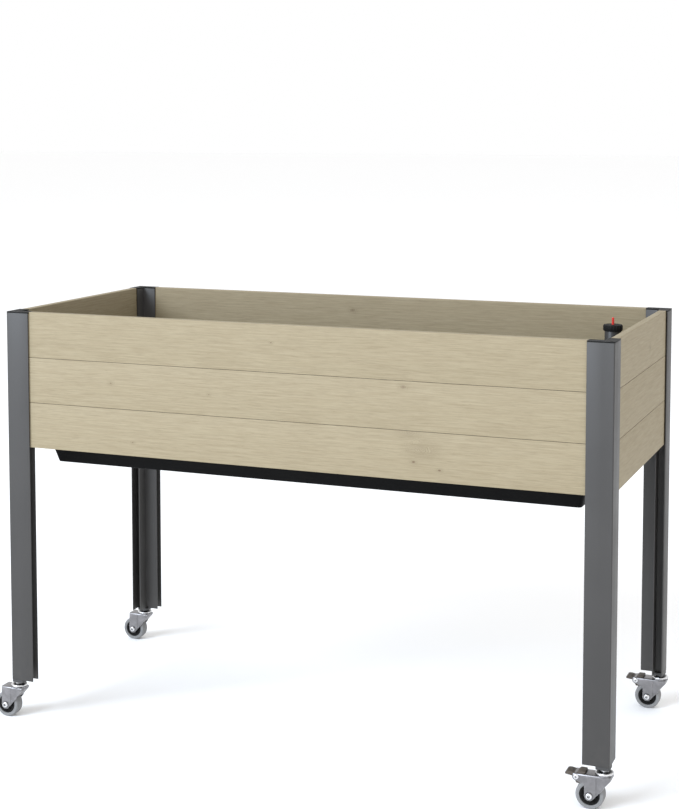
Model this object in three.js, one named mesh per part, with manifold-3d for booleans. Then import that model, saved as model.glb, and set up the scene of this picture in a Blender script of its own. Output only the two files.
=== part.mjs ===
// Raised planter on legs: tongue-and-groove boards held in four extruded corner legs,
// a drafted water tray below the boards, and four swivel castors.
// Millimetres, +Z up. Z = 0 is the floor. X runs along the planter, -Y is its front.
// The origin is the middle of the whole outline on the floor, castors included.
import * as THREE from 'three';
import { mergeVertices } from 'three/addons/utils/BufferGeometryUtils.js';
import Module from 'manifold-3d';

const wasm = await Module();
wasm.setup();

// ---------------------------------------------------------------- driving dimensions
const LENGTH = 1194; // outside of the legs, along X
const DEPTH = 535; // outside of the legs, along Y
const HEIGHT = 810; // floor to the top of the boards and leg caps

const BOARD_ROWS = 3; // boards on each side
const BOARD_PITCH = 88.4; // height covered by one board
const BOARD_THICK = 14;
const BOARD_SETBACK = 3.6; // board face behind the leg face
const TONGUE_THICK = 4.6;
const TONGUE_HEIGHT = 6;
const GROOVE_CLEARANCE = 0.4; // each side of a tongue, and above it
const BOARD_CHAMFER = 0.9; // eased edges at each joint
const BOARD_JOINT = 0.4; // gap between the shoulders of two boards
const BOARD_CLEARANCE = 0.8; // board to the corner tube, and to the lip behind it

const LEG_FLANGE = 48; // width of each leg flange
const LEG_WALL = 2; // extrusion wall
const LEG_CORNER_R = 2; // outside corner radius

const CAP_THICK = 2.2; // leg cap plate
const CAP_SPIGOT = 14; // how far the cap reaches into the corner tube

const LEDGE_THICK = 2; // aluminium angle under the tray's flange
const LEDGE_UPRIGHT = 24;
const LEDGE_SHELF = 26.1;
const LEDGE_RISE = 11.2; // underside of the shelf above the underside of the boards
const LEDGE_END_CLEARANCE = 2; // ledge end to leg flange

const TRAY_WALL = 2.5;
const TRAY_DROP = 38.8; // how far the tray hangs below the boards
const TRAY_DRAFT = 24; // how far its sloping sides run in
const TRAY_CORNER_R = 9;
const TRAY_CLEARANCE = 1.6; // tray flange to the leg lips
const TRAY_SIDE_CLEARANCE = 2; // upright side to the ledge

const DECK_THICK = 3; // perforated soil deck
const DECK_SPLIT = 1; // gap between its two halves
const DECK_CLEARANCE = 0.5; // deck edge to the tray side
const DECK_HOLE_R = 5;
const DECK_HOLE_FACETS = 6;
const DECK_HOLE_PITCH = 110; // widest spacing
const DECK_HOLE_MARGIN = 40; // deck edge to the first hole
const WICK_TOP_R = 32; // wicking cup, at the deck
const WICK_FOOT_R = 26; // wicking cup, at the tray floor
const WICK_WALL = 2.5;
const WICK_SLOT_WIDTH = 10;
const WICK_SLOT_HEIGHT = 16;
const WICK_POSITION = 300; // distance of each cup from the middle, along X

const SERVICE_INSET = 97; // fill tube centre, from the leg faces of the rear right corner
const FILL_TUBE_R = 16;
const FILL_TUBE_WALL = 2;
const FILL_TUBE_DROP = 28; // tube top below the board tops
const FILL_SLOT = 8; // water slot at the foot of the fill tube
const FILL_CAP_HEIGHT = 12;
const FLOAT_CLEARANCE = 3; // float to the tube's bore
const FLOAT_HEIGHT = 28;
const ROD_R = 2.5;
const ROD_PROUD = 16; // level rod above the fill tube

const OVERFLOW_R = 6; // standpipe that sets the highest water level
const OVERFLOW_BORE_R = 4;
const OVERFLOW_LEVEL = 28.5; // above the tray's inside floor
const OVERFLOW_DROP = 8; // how far it reaches below the tray
const OVERFLOW_OFFSET = 80; // from the fill tube, along X
const DRAIN_R = 8; // drain bung in the tray floor
const DRAIN_HEAD_R = 12;
const DRAIN_HEAD = 4; // thickness of the bung's head
const DRAIN_OFFSET = 150; // from the fill tube, along X
const COLLAR_PROUD = 4; // sealing collar of the standpipe, and the bung's end inside the tray

const SOCKET_FLANGE = 25; // castor socket flange, across
const SOCKET_FLANGE_THICK = 5;
const SOCKET_DEPTH = 38; // socket length inside the corner tube

const WHEEL_R = 25; // flat of the tread to the axle
const WHEEL_FACETS = 24;
const TYRE_WIDTH = 21;
const TYRE_THICK = 7.2; // tread to hub
const HUB_RIM_STEP = 2; // rim inside the tyre's side
const HUB_WEB_WIDTH = 9;
const HUB_BOSS_R = 6.5;
const CASTOR_TRAIL = 24; // axle behind the swivel axis
const FORK_SIDE_CLEARANCE = 1.5; // tyre side to cheek
const FORK_TOP_CLEARANCE = 9.5; // tread to crown
const FORK_PLATE = 2; // cheek and web thickness
const CROWN_PLATE = 2.5;
const RACE_R = 16;
const RACE_HEIGHT = 1.6; // lower race, on the crown
const RACE_PLATE = 3.6; // upper race, on the stem
const COLLAR_AF = 17; // hexagon collar, across flats
const COLLAR_HEIGHT = 4.2;
const STEM_R = 5;
const STEM_TOP_CLEARANCE = 4; // stem end below the top of its socket
const RIVET_R = 8; // riveted end below the crown
const RIVET_HEIGHT = 3;
const AXLE_R = 3;
const AXLE_HEAD_R = 5.8;
const AXLE_HEAD = 3.2;
const CHEEK_EYE_R = 8.4; // cheek end around the axle
const CHEEK_SLOPE_END = -0.68; // where the sloping edge meets that end, in radians
const CHEEK_FRONT_SETBACK = 3; // cheek's front edge inside the races' rim
const CROWN_CORNER = 6; // cut-off front corners of the crown
const CHEEK_SHOULDER = 6; // upright part of the cheek's edge below the crown
const CHEEK_STRAIGHT = 17; // upright edge above the axle, up to the ear's hollow
const CHEEK_HOLLOW = 5.5; // height of that hollow
const WEB_RUN = 12; // how far the web between the cheeks slopes back
const WEB_FALL = 14; // how far it slopes down
const PEDAL_PIVOT_BACK = 23; // brake pivot behind the axle
const PEDAL_PIVOT_DROP = 6; // brake pivot below the top of the crown
const PEDAL_PIN_R = 2.5;
const PIN_HEAD_R = 5;
const PIN_HEAD = 1.6;
const PEDAL_EYE_R = 6.6;
const PEDAL_SIDE_CLEARANCE = 0.5;
const TAB_REACH = 15.5; // release tab, from the pivot
const TAB_CLEARANCE = 0.9; // release tab above the crown
const PEDAL_PRESS = 12; // degrees from released to pressed

const SEAT_GAP = 0.3; // between pieces that rest on or plug into each other
const RUNNING_GAP = 0.3; // radial clearance of a turning piece
const ROUND_FACETS = 16; // facets of small turned pieces

// ---------------------------------------------------------------- derived sizes
const HALF_LENGTH = LENGTH / 2;
const HALF_DEPTH = DEPTH / 2;

// Insets are measured inwards from the legs' outside faces.
const BOARD_BACK = BOARD_SETBACK + BOARD_THICK;
const LEG_TUBE = BOARD_BACK + BOARD_CLEARANCE + LEG_WALL;
const STEM_INSET = LEG_TUBE / 2;
const SHELF_INSET = BOARD_BACK + SEAT_GAP + LEDGE_SHELF;
const LEDGE_END = Math.max(LEG_FLANGE, SHELF_INSET) + LEDGE_END_CLEARANCE;
const TRAY_FLANGE_INSET = LEG_TUBE + TRAY_CLEARANCE;
const TRAY_SIDE_INSET = SHELF_INSET + TRAY_SIDE_CLEARANCE;
const TRAY_FLOOR_INSET = TRAY_SIDE_INSET + TRAY_DRAFT;
const DECK_INSET = TRAY_SIDE_INSET + TRAY_WALL + DECK_CLEARANCE;

// Heights of the box, the tray and what stands in it.
const BOX_BOTTOM = HEIGHT - BOARD_ROWS * BOARD_PITCH;
const LEG_TOP_Z = HEIGHT - CAP_THICK - SEAT_GAP;
const LEDGE_Z = BOX_BOTTOM + LEDGE_RISE;
const TRAY_FLANGE_Z = LEDGE_Z + LEDGE_THICK + SEAT_GAP;
const TRAY_FLOOR_Z = BOX_BOTTOM - TRAY_DROP;
const TRAY_INSIDE_Z = TRAY_FLOOR_Z + TRAY_WALL;
const TRAY_SEAT_Z = TRAY_INSIDE_Z + SEAT_GAP;
const KNEE_INSIDE_Z = BOX_BOTTOM + TRAY_WALL / 2;
const DECK_Z = KNEE_INSIDE_Z + SEAT_GAP;
const DECK_TOP_Z = DECK_Z + DECK_THICK;
const FILL_TUBE_TOP = HEIGHT - FILL_TUBE_DROP;
const ROD_TOP = FILL_TUBE_TOP + ROD_PROUD;

// Heights of a castor, from the wheel up to the leg it carries.
const HUB_R = WHEEL_R - TYRE_THICK;
const TYRE_R = WHEEL_R / Math.cos(Math.PI / WHEEL_FACETS);
const FORK_HALF = TYRE_WIDTH / 2 + FORK_SIDE_CLEARANCE;
const FORK_OUTSIDE = FORK_HALF + FORK_PLATE;
const CROWN_Z = 2 * WHEEL_R + FORK_TOP_CLEARANCE;
const CROWN_TOP_Z = CROWN_Z + CROWN_PLATE;
const RACE_TOP_Z = CROWN_TOP_Z + RACE_HEIGHT;
const STEM_PLATE_Z = RACE_TOP_Z + RUNNING_GAP;
const COLLAR_Z = STEM_PLATE_Z + RACE_PLATE;
const SOCKET_FLANGE_Z = COLLAR_Z + COLLAR_HEIGHT + SEAT_GAP;
const SOCKET_FLANGE_TOP = SOCKET_FLANGE_Z + SOCKET_FLANGE_THICK;
const LEG_FOOT_Z = SOCKET_FLANGE_TOP + SEAT_GAP;
const SOCKET_TOP_Z = LEG_FOOT_Z + SOCKET_DEPTH;
const STEM_TOP_Z = SOCKET_TOP_Z - STEM_TOP_CLEARANCE;
const CHEEK_FRONT_X = RACE_R - CHEEK_FRONT_SETBACK;
const PEDAL_PIVOT_X = -CASTOR_TRAIL - PEDAL_PIVOT_BACK;
const PEDAL_PIVOT_Z = CROWN_TOP_Z - PEDAL_PIVOT_DROP;

const FILL_X = HALF_LENGTH - SERVICE_INSET;
const FILL_Y = HALF_DEPTH - SERVICE_INSET;
const OVERFLOW_X = FILL_X - OVERFLOW_OFFSET;
const DRAIN_X = FILL_X - DRAIN_OFFSET;
// The castors trail beyond the left legs, so the outline's middle lies left of the box's.
const OUTLINE_SHIFT = (CASTOR_TRAIL + WHEEL_R - RACE_R) / 2;

// ---------------------------------------------------------------- finishes
const finish = (color, roughness, metalness) => new THREE.MeshStandardMaterial({ color, roughness, metalness });
const coatedAluminium = finish('#646464', 0.55, 0.3);
const blackPlastic = finish('#232426', 0.5, 0);
const darkPlastic = finish('#3a3b3d', 0.6, 0);
const spruce = finish('#cbc0a5', 0.75, 0);
const millAluminium = finish('#a9abad', 0.45, 0.9);
const zincSteel = finish('#b9bcc2', 0.32, 0.95);
const greyRubber = finish('#8d8e90', 0.85, 0);
const hubPlastic = finish('#1d1e21', 0.4, 0);
const pedalPlastic = finish('#5b5450', 0.55, 0);
const tubePlastic = finish('#2d2f31', 0.45, 0);
const floatPlastic = finish('#c8352b', 0.5, 0);

// ---------------------------------------------------------------- solid helpers
// Turns a closed geometry into a solid that can be joined and cut.
function solid(geometry) {
  const bare = geometry.clone();
  bare.deleteAttribute('normal');
  bare.deleteAttribute('uv');
  const merged = mergeVertices(bare, 1e-4);
  return new wasm.Manifold(new wasm.Mesh({
    numProp: 3,
    vertProperties: Float32Array.from(merged.attributes.position.array),
    triVerts: Uint32Array.from(merged.index.array),
  }));
}

// Turns a solid back into a geometry.
function shell(body) {
  const data = body.getMesh();
  const geometry = new THREE.BufferGeometry();
  const points = new Float32Array(data.numVert * 3);
  for (let vertex = 0; vertex < data.numVert; vertex += 1) {
    for (let axis = 0; axis < 3; axis += 1) {
      points[vertex * 3 + axis] = data.vertProperties[vertex * data.numProp + axis];
    }
  }
  geometry.setAttribute('position', new THREE.BufferAttribute(points, 3));
  geometry.setIndex(new THREE.BufferAttribute(Uint32Array.from(data.triVerts), 1));
  geometry.computeVertexNormals();
  return geometry;
}

// Joins geometries into one solid.
const join = (...geometries) => geometries.map(solid).reduce((sum, next) => sum.add(next));

// A box between two corners.
function block(x0, y0, z0, x1, y1, z1) {
  const box = new THREE.BoxGeometry(x1 - x0, y1 - y0, z1 - z0);
  return box.translate((x0 + x1) / 2, (y0 + y1) / 2, (z0 + z1) / 2);
}

// A shape in plan, raised from z0 to z1.
function raise(shape, z0, z1, curveSegments = 6) {
  const geometry = new THREE.ExtrudeGeometry(shape, { depth: z1 - z0, bevelEnabled: false, curveSegments });
  return geometry.translate(0, 0, z0);
}

// A shape drawn in the XZ plane, from y0 to y1.
function sideways(shape, y0, y1, curveSegments = 6) {
  const geometry = new THREE.ExtrudeGeometry(shape, { depth: y1 - y0, bevelEnabled: false, curveSegments });
  return geometry.rotateX(Math.PI / 2).translate(0, y1, 0);
}

// A section drawn with its first axis along Y and its second up, from -half to +half along X.
function lengthways(shape, half) {
  const geometry = new THREE.ExtrudeGeometry(shape, { depth: 2 * half, bevelEnabled: false });
  const lying = new THREE.Matrix4().makeBasis(
    new THREE.Vector3(0, 1, 0), new THREE.Vector3(0, 0, 1), new THREE.Vector3(1, 0, 0),
  );
  return geometry.applyMatrix4(lying).translate(-half, 0, 0);
}

// A closed profile of [radius, height] points turned about Z.
function turned(profile, facets = ROUND_FACETS) {
  const points = profile.map(([radius, height]) => new THREE.Vector2(radius, height));
  const lathe = new THREE.LatheGeometry(points, facets);
  return lathe.rotateX(Math.PI / 2);
}

const polygon = (points) => new THREE.Shape(points.map(([x, y]) => new THREE.Vector2(x, y)));

// A rounded rectangle about the origin.
function roundedRectangle(halfX, halfY, radius) {
  const shape = new THREE.Shape();
  shape.moveTo(halfX, -halfY + radius);
  shape.lineTo(halfX, halfY - radius);
  shape.absarc(halfX - radius, halfY - radius, radius, 0, Math.PI / 2);
  shape.lineTo(-halfX + radius, halfY);
  shape.absarc(-halfX + radius, halfY - radius, radius, Math.PI / 2, Math.PI);
  shape.lineTo(-halfX, -halfY + radius);
  shape.absarc(-halfX + radius, -halfY + radius, radius, Math.PI, Math.PI * 1.5);
  shape.lineTo(halfX - radius, -halfY);
  shape.absarc(halfX - radius, -halfY + radius, radius, Math.PI * 1.5, Math.PI * 2);
  return shape;
}

const planter = new THREE.Group();
planter.position.x = OUTLINE_SHIFT;

// Adds one named piece to a group.
function place(name, geometry, material, x = 0, y = 0, z = 0, parent = planter) {
  const mesh = new THREE.Mesh(geometry, material);
  mesh.name = name;
  mesh.position.set(x, y, z);
  parent.add(mesh);
  return mesh;
}

const CORNERS = [
  { name: 'front_left', sideX: -1, sideY: -1, braked: false },
  { name: 'front_right', sideX: 1, sideY: -1, braked: true },
  { name: 'rear_left', sideX: -1, sideY: 1, braked: false },
  { name: 'rear_right', sideX: 1, sideY: 1, braked: true },
];

// ---------------------------------------------------------------- legs, caps and sockets
// A corner outline is drawn with the leg's outside corner at 0,0 and its flanges
// along +u and +v, then mirrored to its own corner of the planter and kept counterclockwise.
function facing(points, corner) {
  const placed = points.map(([u, v]) => [-corner.sideX * u, -corner.sideY * v]);
  return corner.sideX * corner.sideY > 0 ? placed : placed.reverse();
}

// The outline of a leg and of its cap: two flanges with a rounded outside corner.
function legOutline(corner) {
  const outline = [];
  for (let step = 0; step <= 3; step += 1) {
    const angle = Math.PI * (1 + step / 6);
    outline.push([LEG_CORNER_R * (1 + Math.cos(angle)), LEG_CORNER_R * (1 + Math.sin(angle))]);
  }
  outline.push(
    [LEG_FLANGE, 0], [LEG_FLANGE, LEG_TUBE], [LEG_TUBE, LEG_TUBE], [LEG_TUBE, LEG_FLANGE], [0, LEG_FLANGE],
  );
  return polygon(facing(outline, corner));
}

// A rectangle in a corner's own plan.
const cornerPatch = (corner, u0, v0, u1, v1) => polygon(facing([[u0, v0], [u1, v0], [u1, v1], [u0, v1]], corner));

// The leg is the outline less its closed tube and the two open channels that hold the boards.
function legGeometry(corner) {
  const lip = LEG_TUBE - LEG_WALL;
  const past = LEG_FLANGE + 1;
  const cut = (...patch) => solid(raise(cornerPatch(corner, ...patch), LEG_FOOT_Z - 1, LEG_TOP_Z + 1));
  return shell(
    solid(raise(legOutline(corner), LEG_FOOT_Z, LEG_TOP_Z))
      .subtract(cut(LEG_WALL, LEG_WALL, lip, lip))
      .subtract(cut(LEG_TUBE, LEG_WALL, past, lip))
      .subtract(cut(LEG_WALL, LEG_TUBE, lip, past)),
  );
}

function capGeometry(corner) {
  const plate = raise(legOutline(corner), HEIGHT - CAP_THICK, HEIGHT);
  const near = LEG_WALL + SEAT_GAP;
  const far = LEG_TUBE - near;
  const spigot = raise(
    cornerPatch(corner, near, near, far, far), HEIGHT - CAP_THICK - CAP_SPIGOT, HEIGHT - CAP_THICK,
  );
  return shell(join(plate, spigot));
}

function socketGeometry(corner) {
  const near = LEG_WALL + SEAT_GAP;
  const far = LEG_TUBE - near;
  const flange = raise(
    cornerPatch(corner, SEAT_GAP, SEAT_GAP, SOCKET_FLANGE, SOCKET_FLANGE), SOCKET_FLANGE_Z, SOCKET_FLANGE_TOP,
  );
  const insert = raise(cornerPatch(corner, near, near, far, far), SOCKET_FLANGE_TOP, SOCKET_TOP_Z);
  const bore = new THREE.Shape().absarc(
    -corner.sideX * STEM_INSET, -corner.sideY * STEM_INSET, STEM_R + SEAT_GAP, 0, Math.PI * 2,
  );
  const drill = raise(bore, SOCKET_FLANGE_Z - 1, SOCKET_TOP_Z + 1);
  return shell(join(flange, insert).subtract(solid(drill)));
}

for (const corner of CORNERS) {
  const x = corner.sideX * HALF_LENGTH;
  const y = corner.sideY * HALF_DEPTH;
  place(`leg_${corner.name}`, legGeometry(corner), coatedAluminium, x, y);
  place(`leg_cap_${corner.name}`, capGeometry(corner), blackPlastic, x, y);
  place(`castor_socket_${corner.name}`, socketGeometry(corner), darkPlastic, x, y);
}

// ---------------------------------------------------------------- boards
// Section of a board: t is depth behind its face, z is height above its own bottom.
function boardSection(row) {
  const low = row === 0 ? 0 : BOARD_JOINT / 2;
  const high = row === BOARD_ROWS - 1 ? BOARD_PITCH : BOARD_PITCH - BOARD_JOINT / 2;
  const middle = BOARD_THICK / 2;
  const tongue = TONGUE_THICK / 2;
  const groove = tongue + GROOVE_CLEARANCE;
  const grooveTop = low + TONGUE_HEIGHT + GROOVE_CLEARANCE;
  const points = [[0, low + BOARD_CHAMFER], [BOARD_CHAMFER, low]];
  if (row > 0) {
    points.push([middle - groove, low], [middle - groove, grooveTop], [middle + groove, grooveTop], [middle + groove, low]);
  }
  points.push([BOARD_THICK - BOARD_CHAMFER, low], [BOARD_THICK, low + BOARD_CHAMFER]);
  points.push([BOARD_THICK, high - BOARD_CHAMFER], [BOARD_THICK - BOARD_CHAMFER, high]);
  if (row < BOARD_ROWS - 1) {
    const tip = high + TONGUE_HEIGHT;
    points.push([middle + tongue, high], [middle + tongue, tip], [middle - tongue, tip], [middle - tongue, high]);
  }
  points.push([BOARD_CHAMFER, high], [0, high - BOARD_CHAMFER]);
  return polygon(points);
}

// A board along X with its face towards -Y. The top board's ends are let in under the leg caps.
function boardGeometry(row, span) {
  const half = span / 2 - LEG_TUBE - BOARD_CLEARANCE;
  const board = lengthways(boardSection(row), half);
  if (row < BOARD_ROWS - 1) return board;
  const notchStart = span / 2 - LEG_FLANGE - SEAT_GAP;
  const notchFloor = BOARD_PITCH - CAP_THICK - 2 * SEAT_GAP;
  const notch = (x0, x1) => solid(block(x0, -1, notchFloor, x1, BOARD_THICK + 1, BOARD_PITCH + 1));
  return shell(solid(board).subtract(notch(notchStart, half + 1)).subtract(notch(-half - 1, -notchStart)));
}

const SIDES = [
  { name: 'front', turn: 0, span: LENGTH, reach: HALF_DEPTH },
  { name: 'right', turn: Math.PI / 2, span: DEPTH, reach: HALF_LENGTH },
  { name: 'rear', turn: Math.PI, span: LENGTH, reach: HALF_DEPTH },
  { name: 'left', turn: -Math.PI / 2, span: DEPTH, reach: HALF_LENGTH },
];
const ROW_NAMES = ['bottom', 'middle', 'top'];

for (const side of SIDES) {
  side.wall = new THREE.Group();
  side.wall.rotation.z = side.turn;
  planter.add(side.wall);
  for (let row = 0; row < BOARD_ROWS; row += 1) {
    place(
      `board_${side.name}_${ROW_NAMES[row]}`, boardGeometry(row, side.span), spruce,
      0, -side.reach + BOARD_SETBACK, BOX_BOTTOM + row * BOARD_PITCH, side.wall,
    );
  }
}

// ---------------------------------------------------------------- tray ledges
// An angle along X against the back of the bottom board, its shelf towards the middle.
function ledgeGeometry(span, reach) {
  const half = span / 2 - LEDGE_END;
  const back = -reach + BOARD_BACK + SEAT_GAP;
  const angle = [
    [back, LEDGE_Z], [-reach + SHELF_INSET, LEDGE_Z], [-reach + SHELF_INSET, LEDGE_Z + LEDGE_THICK],
    [back + LEDGE_THICK, LEDGE_Z + LEDGE_THICK], [back + LEDGE_THICK, LEDGE_Z + LEDGE_UPRIGHT],
    [back, LEDGE_Z + LEDGE_UPRIGHT],
  ];
  return lengthways(polygon(angle), half);
}

for (const side of SIDES) {
  place(`tray_ledge_${side.name}`, ledgeGeometry(side.span, side.reach), millAluminium, 0, 0, 0, side.wall);
}

// ---------------------------------------------------------------- water tray
// A block with upright sides above the knee and sides that slope in below it.
function basin(inset, floorInset, radius, floorZ, kneeZ, topZ) {
  const halfX = HALF_LENGTH - inset;
  const halfY = HALF_DEPTH - inset;
  const outline = roundedRectangle(halfX, halfY, radius);
  const upright = raise(outline, kneeZ, topZ, 3);
  const slope = raise(outline, floorZ, kneeZ, 3);
  const points = slope.attributes.position;
  const draft = floorInset - inset;
  for (let index = 0; index < points.count; index += 1) {
    if (points.getZ(index) < (floorZ + kneeZ) / 2) {
      points.setX(index, points.getX(index) - Math.sign(points.getX(index)) * draft);
      points.setY(index, points.getY(index) - Math.sign(points.getY(index)) * draft);
    }
  }
  return join(upright, slope);
}

const roundHole = (x, y, radius, z0, z1) => {
  const circle = new THREE.Shape().absarc(x, y, radius, 0, Math.PI * 2);
  return solid(raise(circle, z0, z1, ROUND_FACETS / 2));
};

function trayGeometry() {
  const flangeTop = TRAY_FLANGE_Z + TRAY_WALL;
  const outside = basin(
    TRAY_SIDE_INSET, TRAY_FLOOR_INSET, TRAY_CORNER_R, TRAY_FLOOR_Z, BOX_BOTTOM, flangeTop,
  );
  const inside = basin(
    TRAY_SIDE_INSET + TRAY_WALL, TRAY_FLOOR_INSET + TRAY_WALL, TRAY_CORNER_R - TRAY_WALL,
    TRAY_INSIDE_Z, KNEE_INSIDE_Z, flangeTop + 1,
  );
  const flange = roundedRectangle(HALF_LENGTH - TRAY_FLANGE_INSET, HALF_DEPTH - TRAY_FLANGE_INSET, 3);
  return shell(
    outside.add(solid(raise(flange, TRAY_FLANGE_Z, flangeTop, 3)))
      .subtract(inside)
      .subtract(roundHole(OVERFLOW_X, FILL_Y, OVERFLOW_R + SEAT_GAP, TRAY_FLOOR_Z - 1, TRAY_INSIDE_Z + 1))
      .subtract(roundHole(DRAIN_X, FILL_Y, DRAIN_R + SEAT_GAP, TRAY_FLOOR_Z - 1, TRAY_INSIDE_Z + 1)),
  );
}

place('water_tray', trayGeometry(), blackPlastic);

// ---------------------------------------------------------------- soil deck
// One half of the deck: a perforated plate with a wicking cup that stands on the tray floor.
function deckGeometry(side) {
  const inner = DECK_SPLIT / 2;
  const outer = HALF_LENGTH - DECK_INSET;
  const halfY = HALF_DEPTH - DECK_INSET;
  const cupX = side * WICK_POSITION;
  const plateOutline = polygon([
    [side * inner, -halfY], [side * (outer - TRAY_CORNER_R), -halfY], [side * outer, -halfY + TRAY_CORNER_R],
    [side * outer, halfY - TRAY_CORNER_R], [side * (outer - TRAY_CORNER_R), halfY], [side * inner, halfY],
  ]);
  const columns = Math.floor((outer - inner - 2 * DECK_HOLE_MARGIN) / DECK_HOLE_PITCH) + 1;
  const rows = Math.floor((2 * halfY - 2 * DECK_HOLE_MARGIN) / DECK_HOLE_PITCH) + 1;
  const stepX = (outer - inner - 2 * DECK_HOLE_MARGIN) / (columns - 1);
  const stepY = (2 * halfY - 2 * DECK_HOLE_MARGIN) / (rows - 1);
  for (let column = 0; column < columns; column += 1) {
    for (let row = 0; row < rows; row += 1) {
      const x = side * (inner + DECK_HOLE_MARGIN + column * stepX);
      const y = -halfY + DECK_HOLE_MARGIN + row * stepY;
      const nearCup = Math.hypot(x - cupX, y) < WICK_TOP_R + 3 * DECK_HOLE_R;
      const nearTube = Math.hypot(x - FILL_X, y - FILL_Y) < FILL_TUBE_R + 3 * DECK_HOLE_R;
      if (nearCup || nearTube) continue;
      const hole = new THREE.Shape().absarc(x, y, DECK_HOLE_R, 0, Math.PI * 2);
      plateOutline.holes.push(new THREE.Path(hole.getPoints(DECK_HOLE_FACETS / 2).slice(0, -1)));
    }
  }
  const plate = raise(plateOutline, DECK_Z, DECK_TOP_Z, 4);
  const cup = turned([[0, TRAY_SEAT_Z], [WICK_FOOT_R, TRAY_SEAT_Z], [WICK_TOP_R, DECK_TOP_Z], [0, DECK_TOP_Z]]);
  const well = turned([
    [0, TRAY_SEAT_Z + WICK_WALL], [WICK_FOOT_R - WICK_WALL, TRAY_SEAT_Z + WICK_WALL],
    [WICK_TOP_R - WICK_WALL, DECK_TOP_Z], [WICK_TOP_R - WICK_WALL, DECK_TOP_Z + 1], [0, DECK_TOP_Z + 1],
  ]);
  const slotLow = TRAY_SEAT_Z + 2 * WICK_WALL;
  const slotHalf = WICK_SLOT_WIDTH / 2;
  const slotX = block(-WICK_TOP_R, -slotHalf, slotLow, WICK_TOP_R, slotHalf, slotLow + WICK_SLOT_HEIGHT);
  const slotY = block(-slotHalf, -WICK_TOP_R, slotLow, slotHalf, WICK_TOP_R, slotLow + WICK_SLOT_HEIGHT);
  let deck = join(plate, cup.translate(cupX, 0, 0)).subtract(solid(well.translate(cupX, 0, 0)));
  deck = deck.subtract(solid(slotX.translate(cupX, 0, 0))).subtract(solid(slotY.translate(cupX, 0, 0)));
  if (side > 0) {
    deck = deck.subtract(roundHole(FILL_X, FILL_Y, FILL_TUBE_R + SEAT_GAP, DECK_Z - 1, DECK_TOP_Z + 1));
  }
  return shell(deck);
}

place('soil_deck_left', deckGeometry(-1), darkPlastic);
place('soil_deck_right', deckGeometry(1), darkPlastic);

// ---------------------------------------------------------------- filling, level and drain
function fillTubeGeometry() {
  const bore = FILL_TUBE_R - FILL_TUBE_WALL;
  const tube = solid(turned([
    [bore, TRAY_SEAT_Z], [FILL_TUBE_R, TRAY_SEAT_Z], [FILL_TUBE_R, FILL_TUBE_TOP],
    [bore, FILL_TUBE_TOP], [bore, TRAY_SEAT_Z],
  ]));
  const half = FILL_SLOT / 2;
  const slot = block(-FILL_TUBE_R - 1, -half, TRAY_SEAT_Z - 1, FILL_TUBE_R + 1, half, TRAY_SEAT_Z + 2 * FILL_SLOT);
  return shell(tube.subtract(solid(slot)));
}

// A cap that drops over the tube, with a hole that the level rod slides in.
function fillCapGeometry() {
  const skirtInner = FILL_TUBE_R + SEAT_GAP;
  const skirtOuter = skirtInner + FILL_TUBE_WALL;
  const roof = FILL_TUBE_TOP + SEAT_GAP;
  const low = roof + FILL_TUBE_WALL - FILL_CAP_HEIGHT;
  const hole = ROD_R + 2 * RUNNING_GAP;
  return turned([
    [hole, roof], [skirtInner, roof], [skirtInner, low], [skirtOuter, low],
    [skirtOuter, roof + FILL_TUBE_WALL - 1], [skirtOuter - 1, roof + FILL_TUBE_WALL],
    [hole, roof + FILL_TUBE_WALL], [hole, roof],
  ]);
}

function floatGeometry() {
  const low = TRAY_SEAT_Z;
  const high = low + FLOAT_HEIGHT;
  const radius = FILL_TUBE_R - FILL_TUBE_WALL - FLOAT_CLEARANCE;
  const ease = 3;
  return turned([
    [0, low], [radius - ease, low], [radius, low + ease], [radius, high - ease], [radius - ease, high],
    [ROD_R, high], [ROD_R, ROD_TOP - 1], [ROD_R - 1, ROD_TOP], [0, ROD_TOP],
  ]);
}

function overflowGeometry() {
  const low = TRAY_FLOOR_Z - OVERFLOW_DROP;
  const top = TRAY_INSIDE_Z + OVERFLOW_LEVEL;
  const seat = TRAY_SEAT_Z;
  return turned([
    [OVERFLOW_BORE_R, low], [OVERFLOW_R, low], [OVERFLOW_R, seat], [OVERFLOW_R + COLLAR_PROUD, seat],
    [OVERFLOW_R + COLLAR_PROUD, seat + 2], [OVERFLOW_R, seat + 2], [OVERFLOW_R, top],
    [OVERFLOW_BORE_R, top], [OVERFLOW_BORE_R, low],
  ]);
}

// A rubber bung pushed into the tray floor from below.
function drainGeometry() {
  const seat = TRAY_FLOOR_Z - SEAT_GAP;
  const low = seat - DRAIN_HEAD;
  const top = TRAY_INSIDE_Z + COLLAR_PROUD;
  return turned([
    [0, low], [DRAIN_HEAD_R - 1, low], [DRAIN_HEAD_R, low + 1], [DRAIN_HEAD_R, seat],
    [DRAIN_R, seat], [DRAIN_R, top - 2], [DRAIN_R - 1.5, top], [0, top],
  ]);
}

place('fill_tube', fillTubeGeometry(), tubePlastic, FILL_X, FILL_Y);
place('fill_cap', fillCapGeometry(), blackPlastic, FILL_X, FILL_Y);
place('level_float', floatGeometry(), floatPlastic, FILL_X, FILL_Y);
place('overflow_pipe', overflowGeometry(), tubePlastic, OVERFLOW_X, FILL_Y);
place('drain_plug', drainGeometry(), greyRubber, DRAIN_X, FILL_Y);

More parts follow.
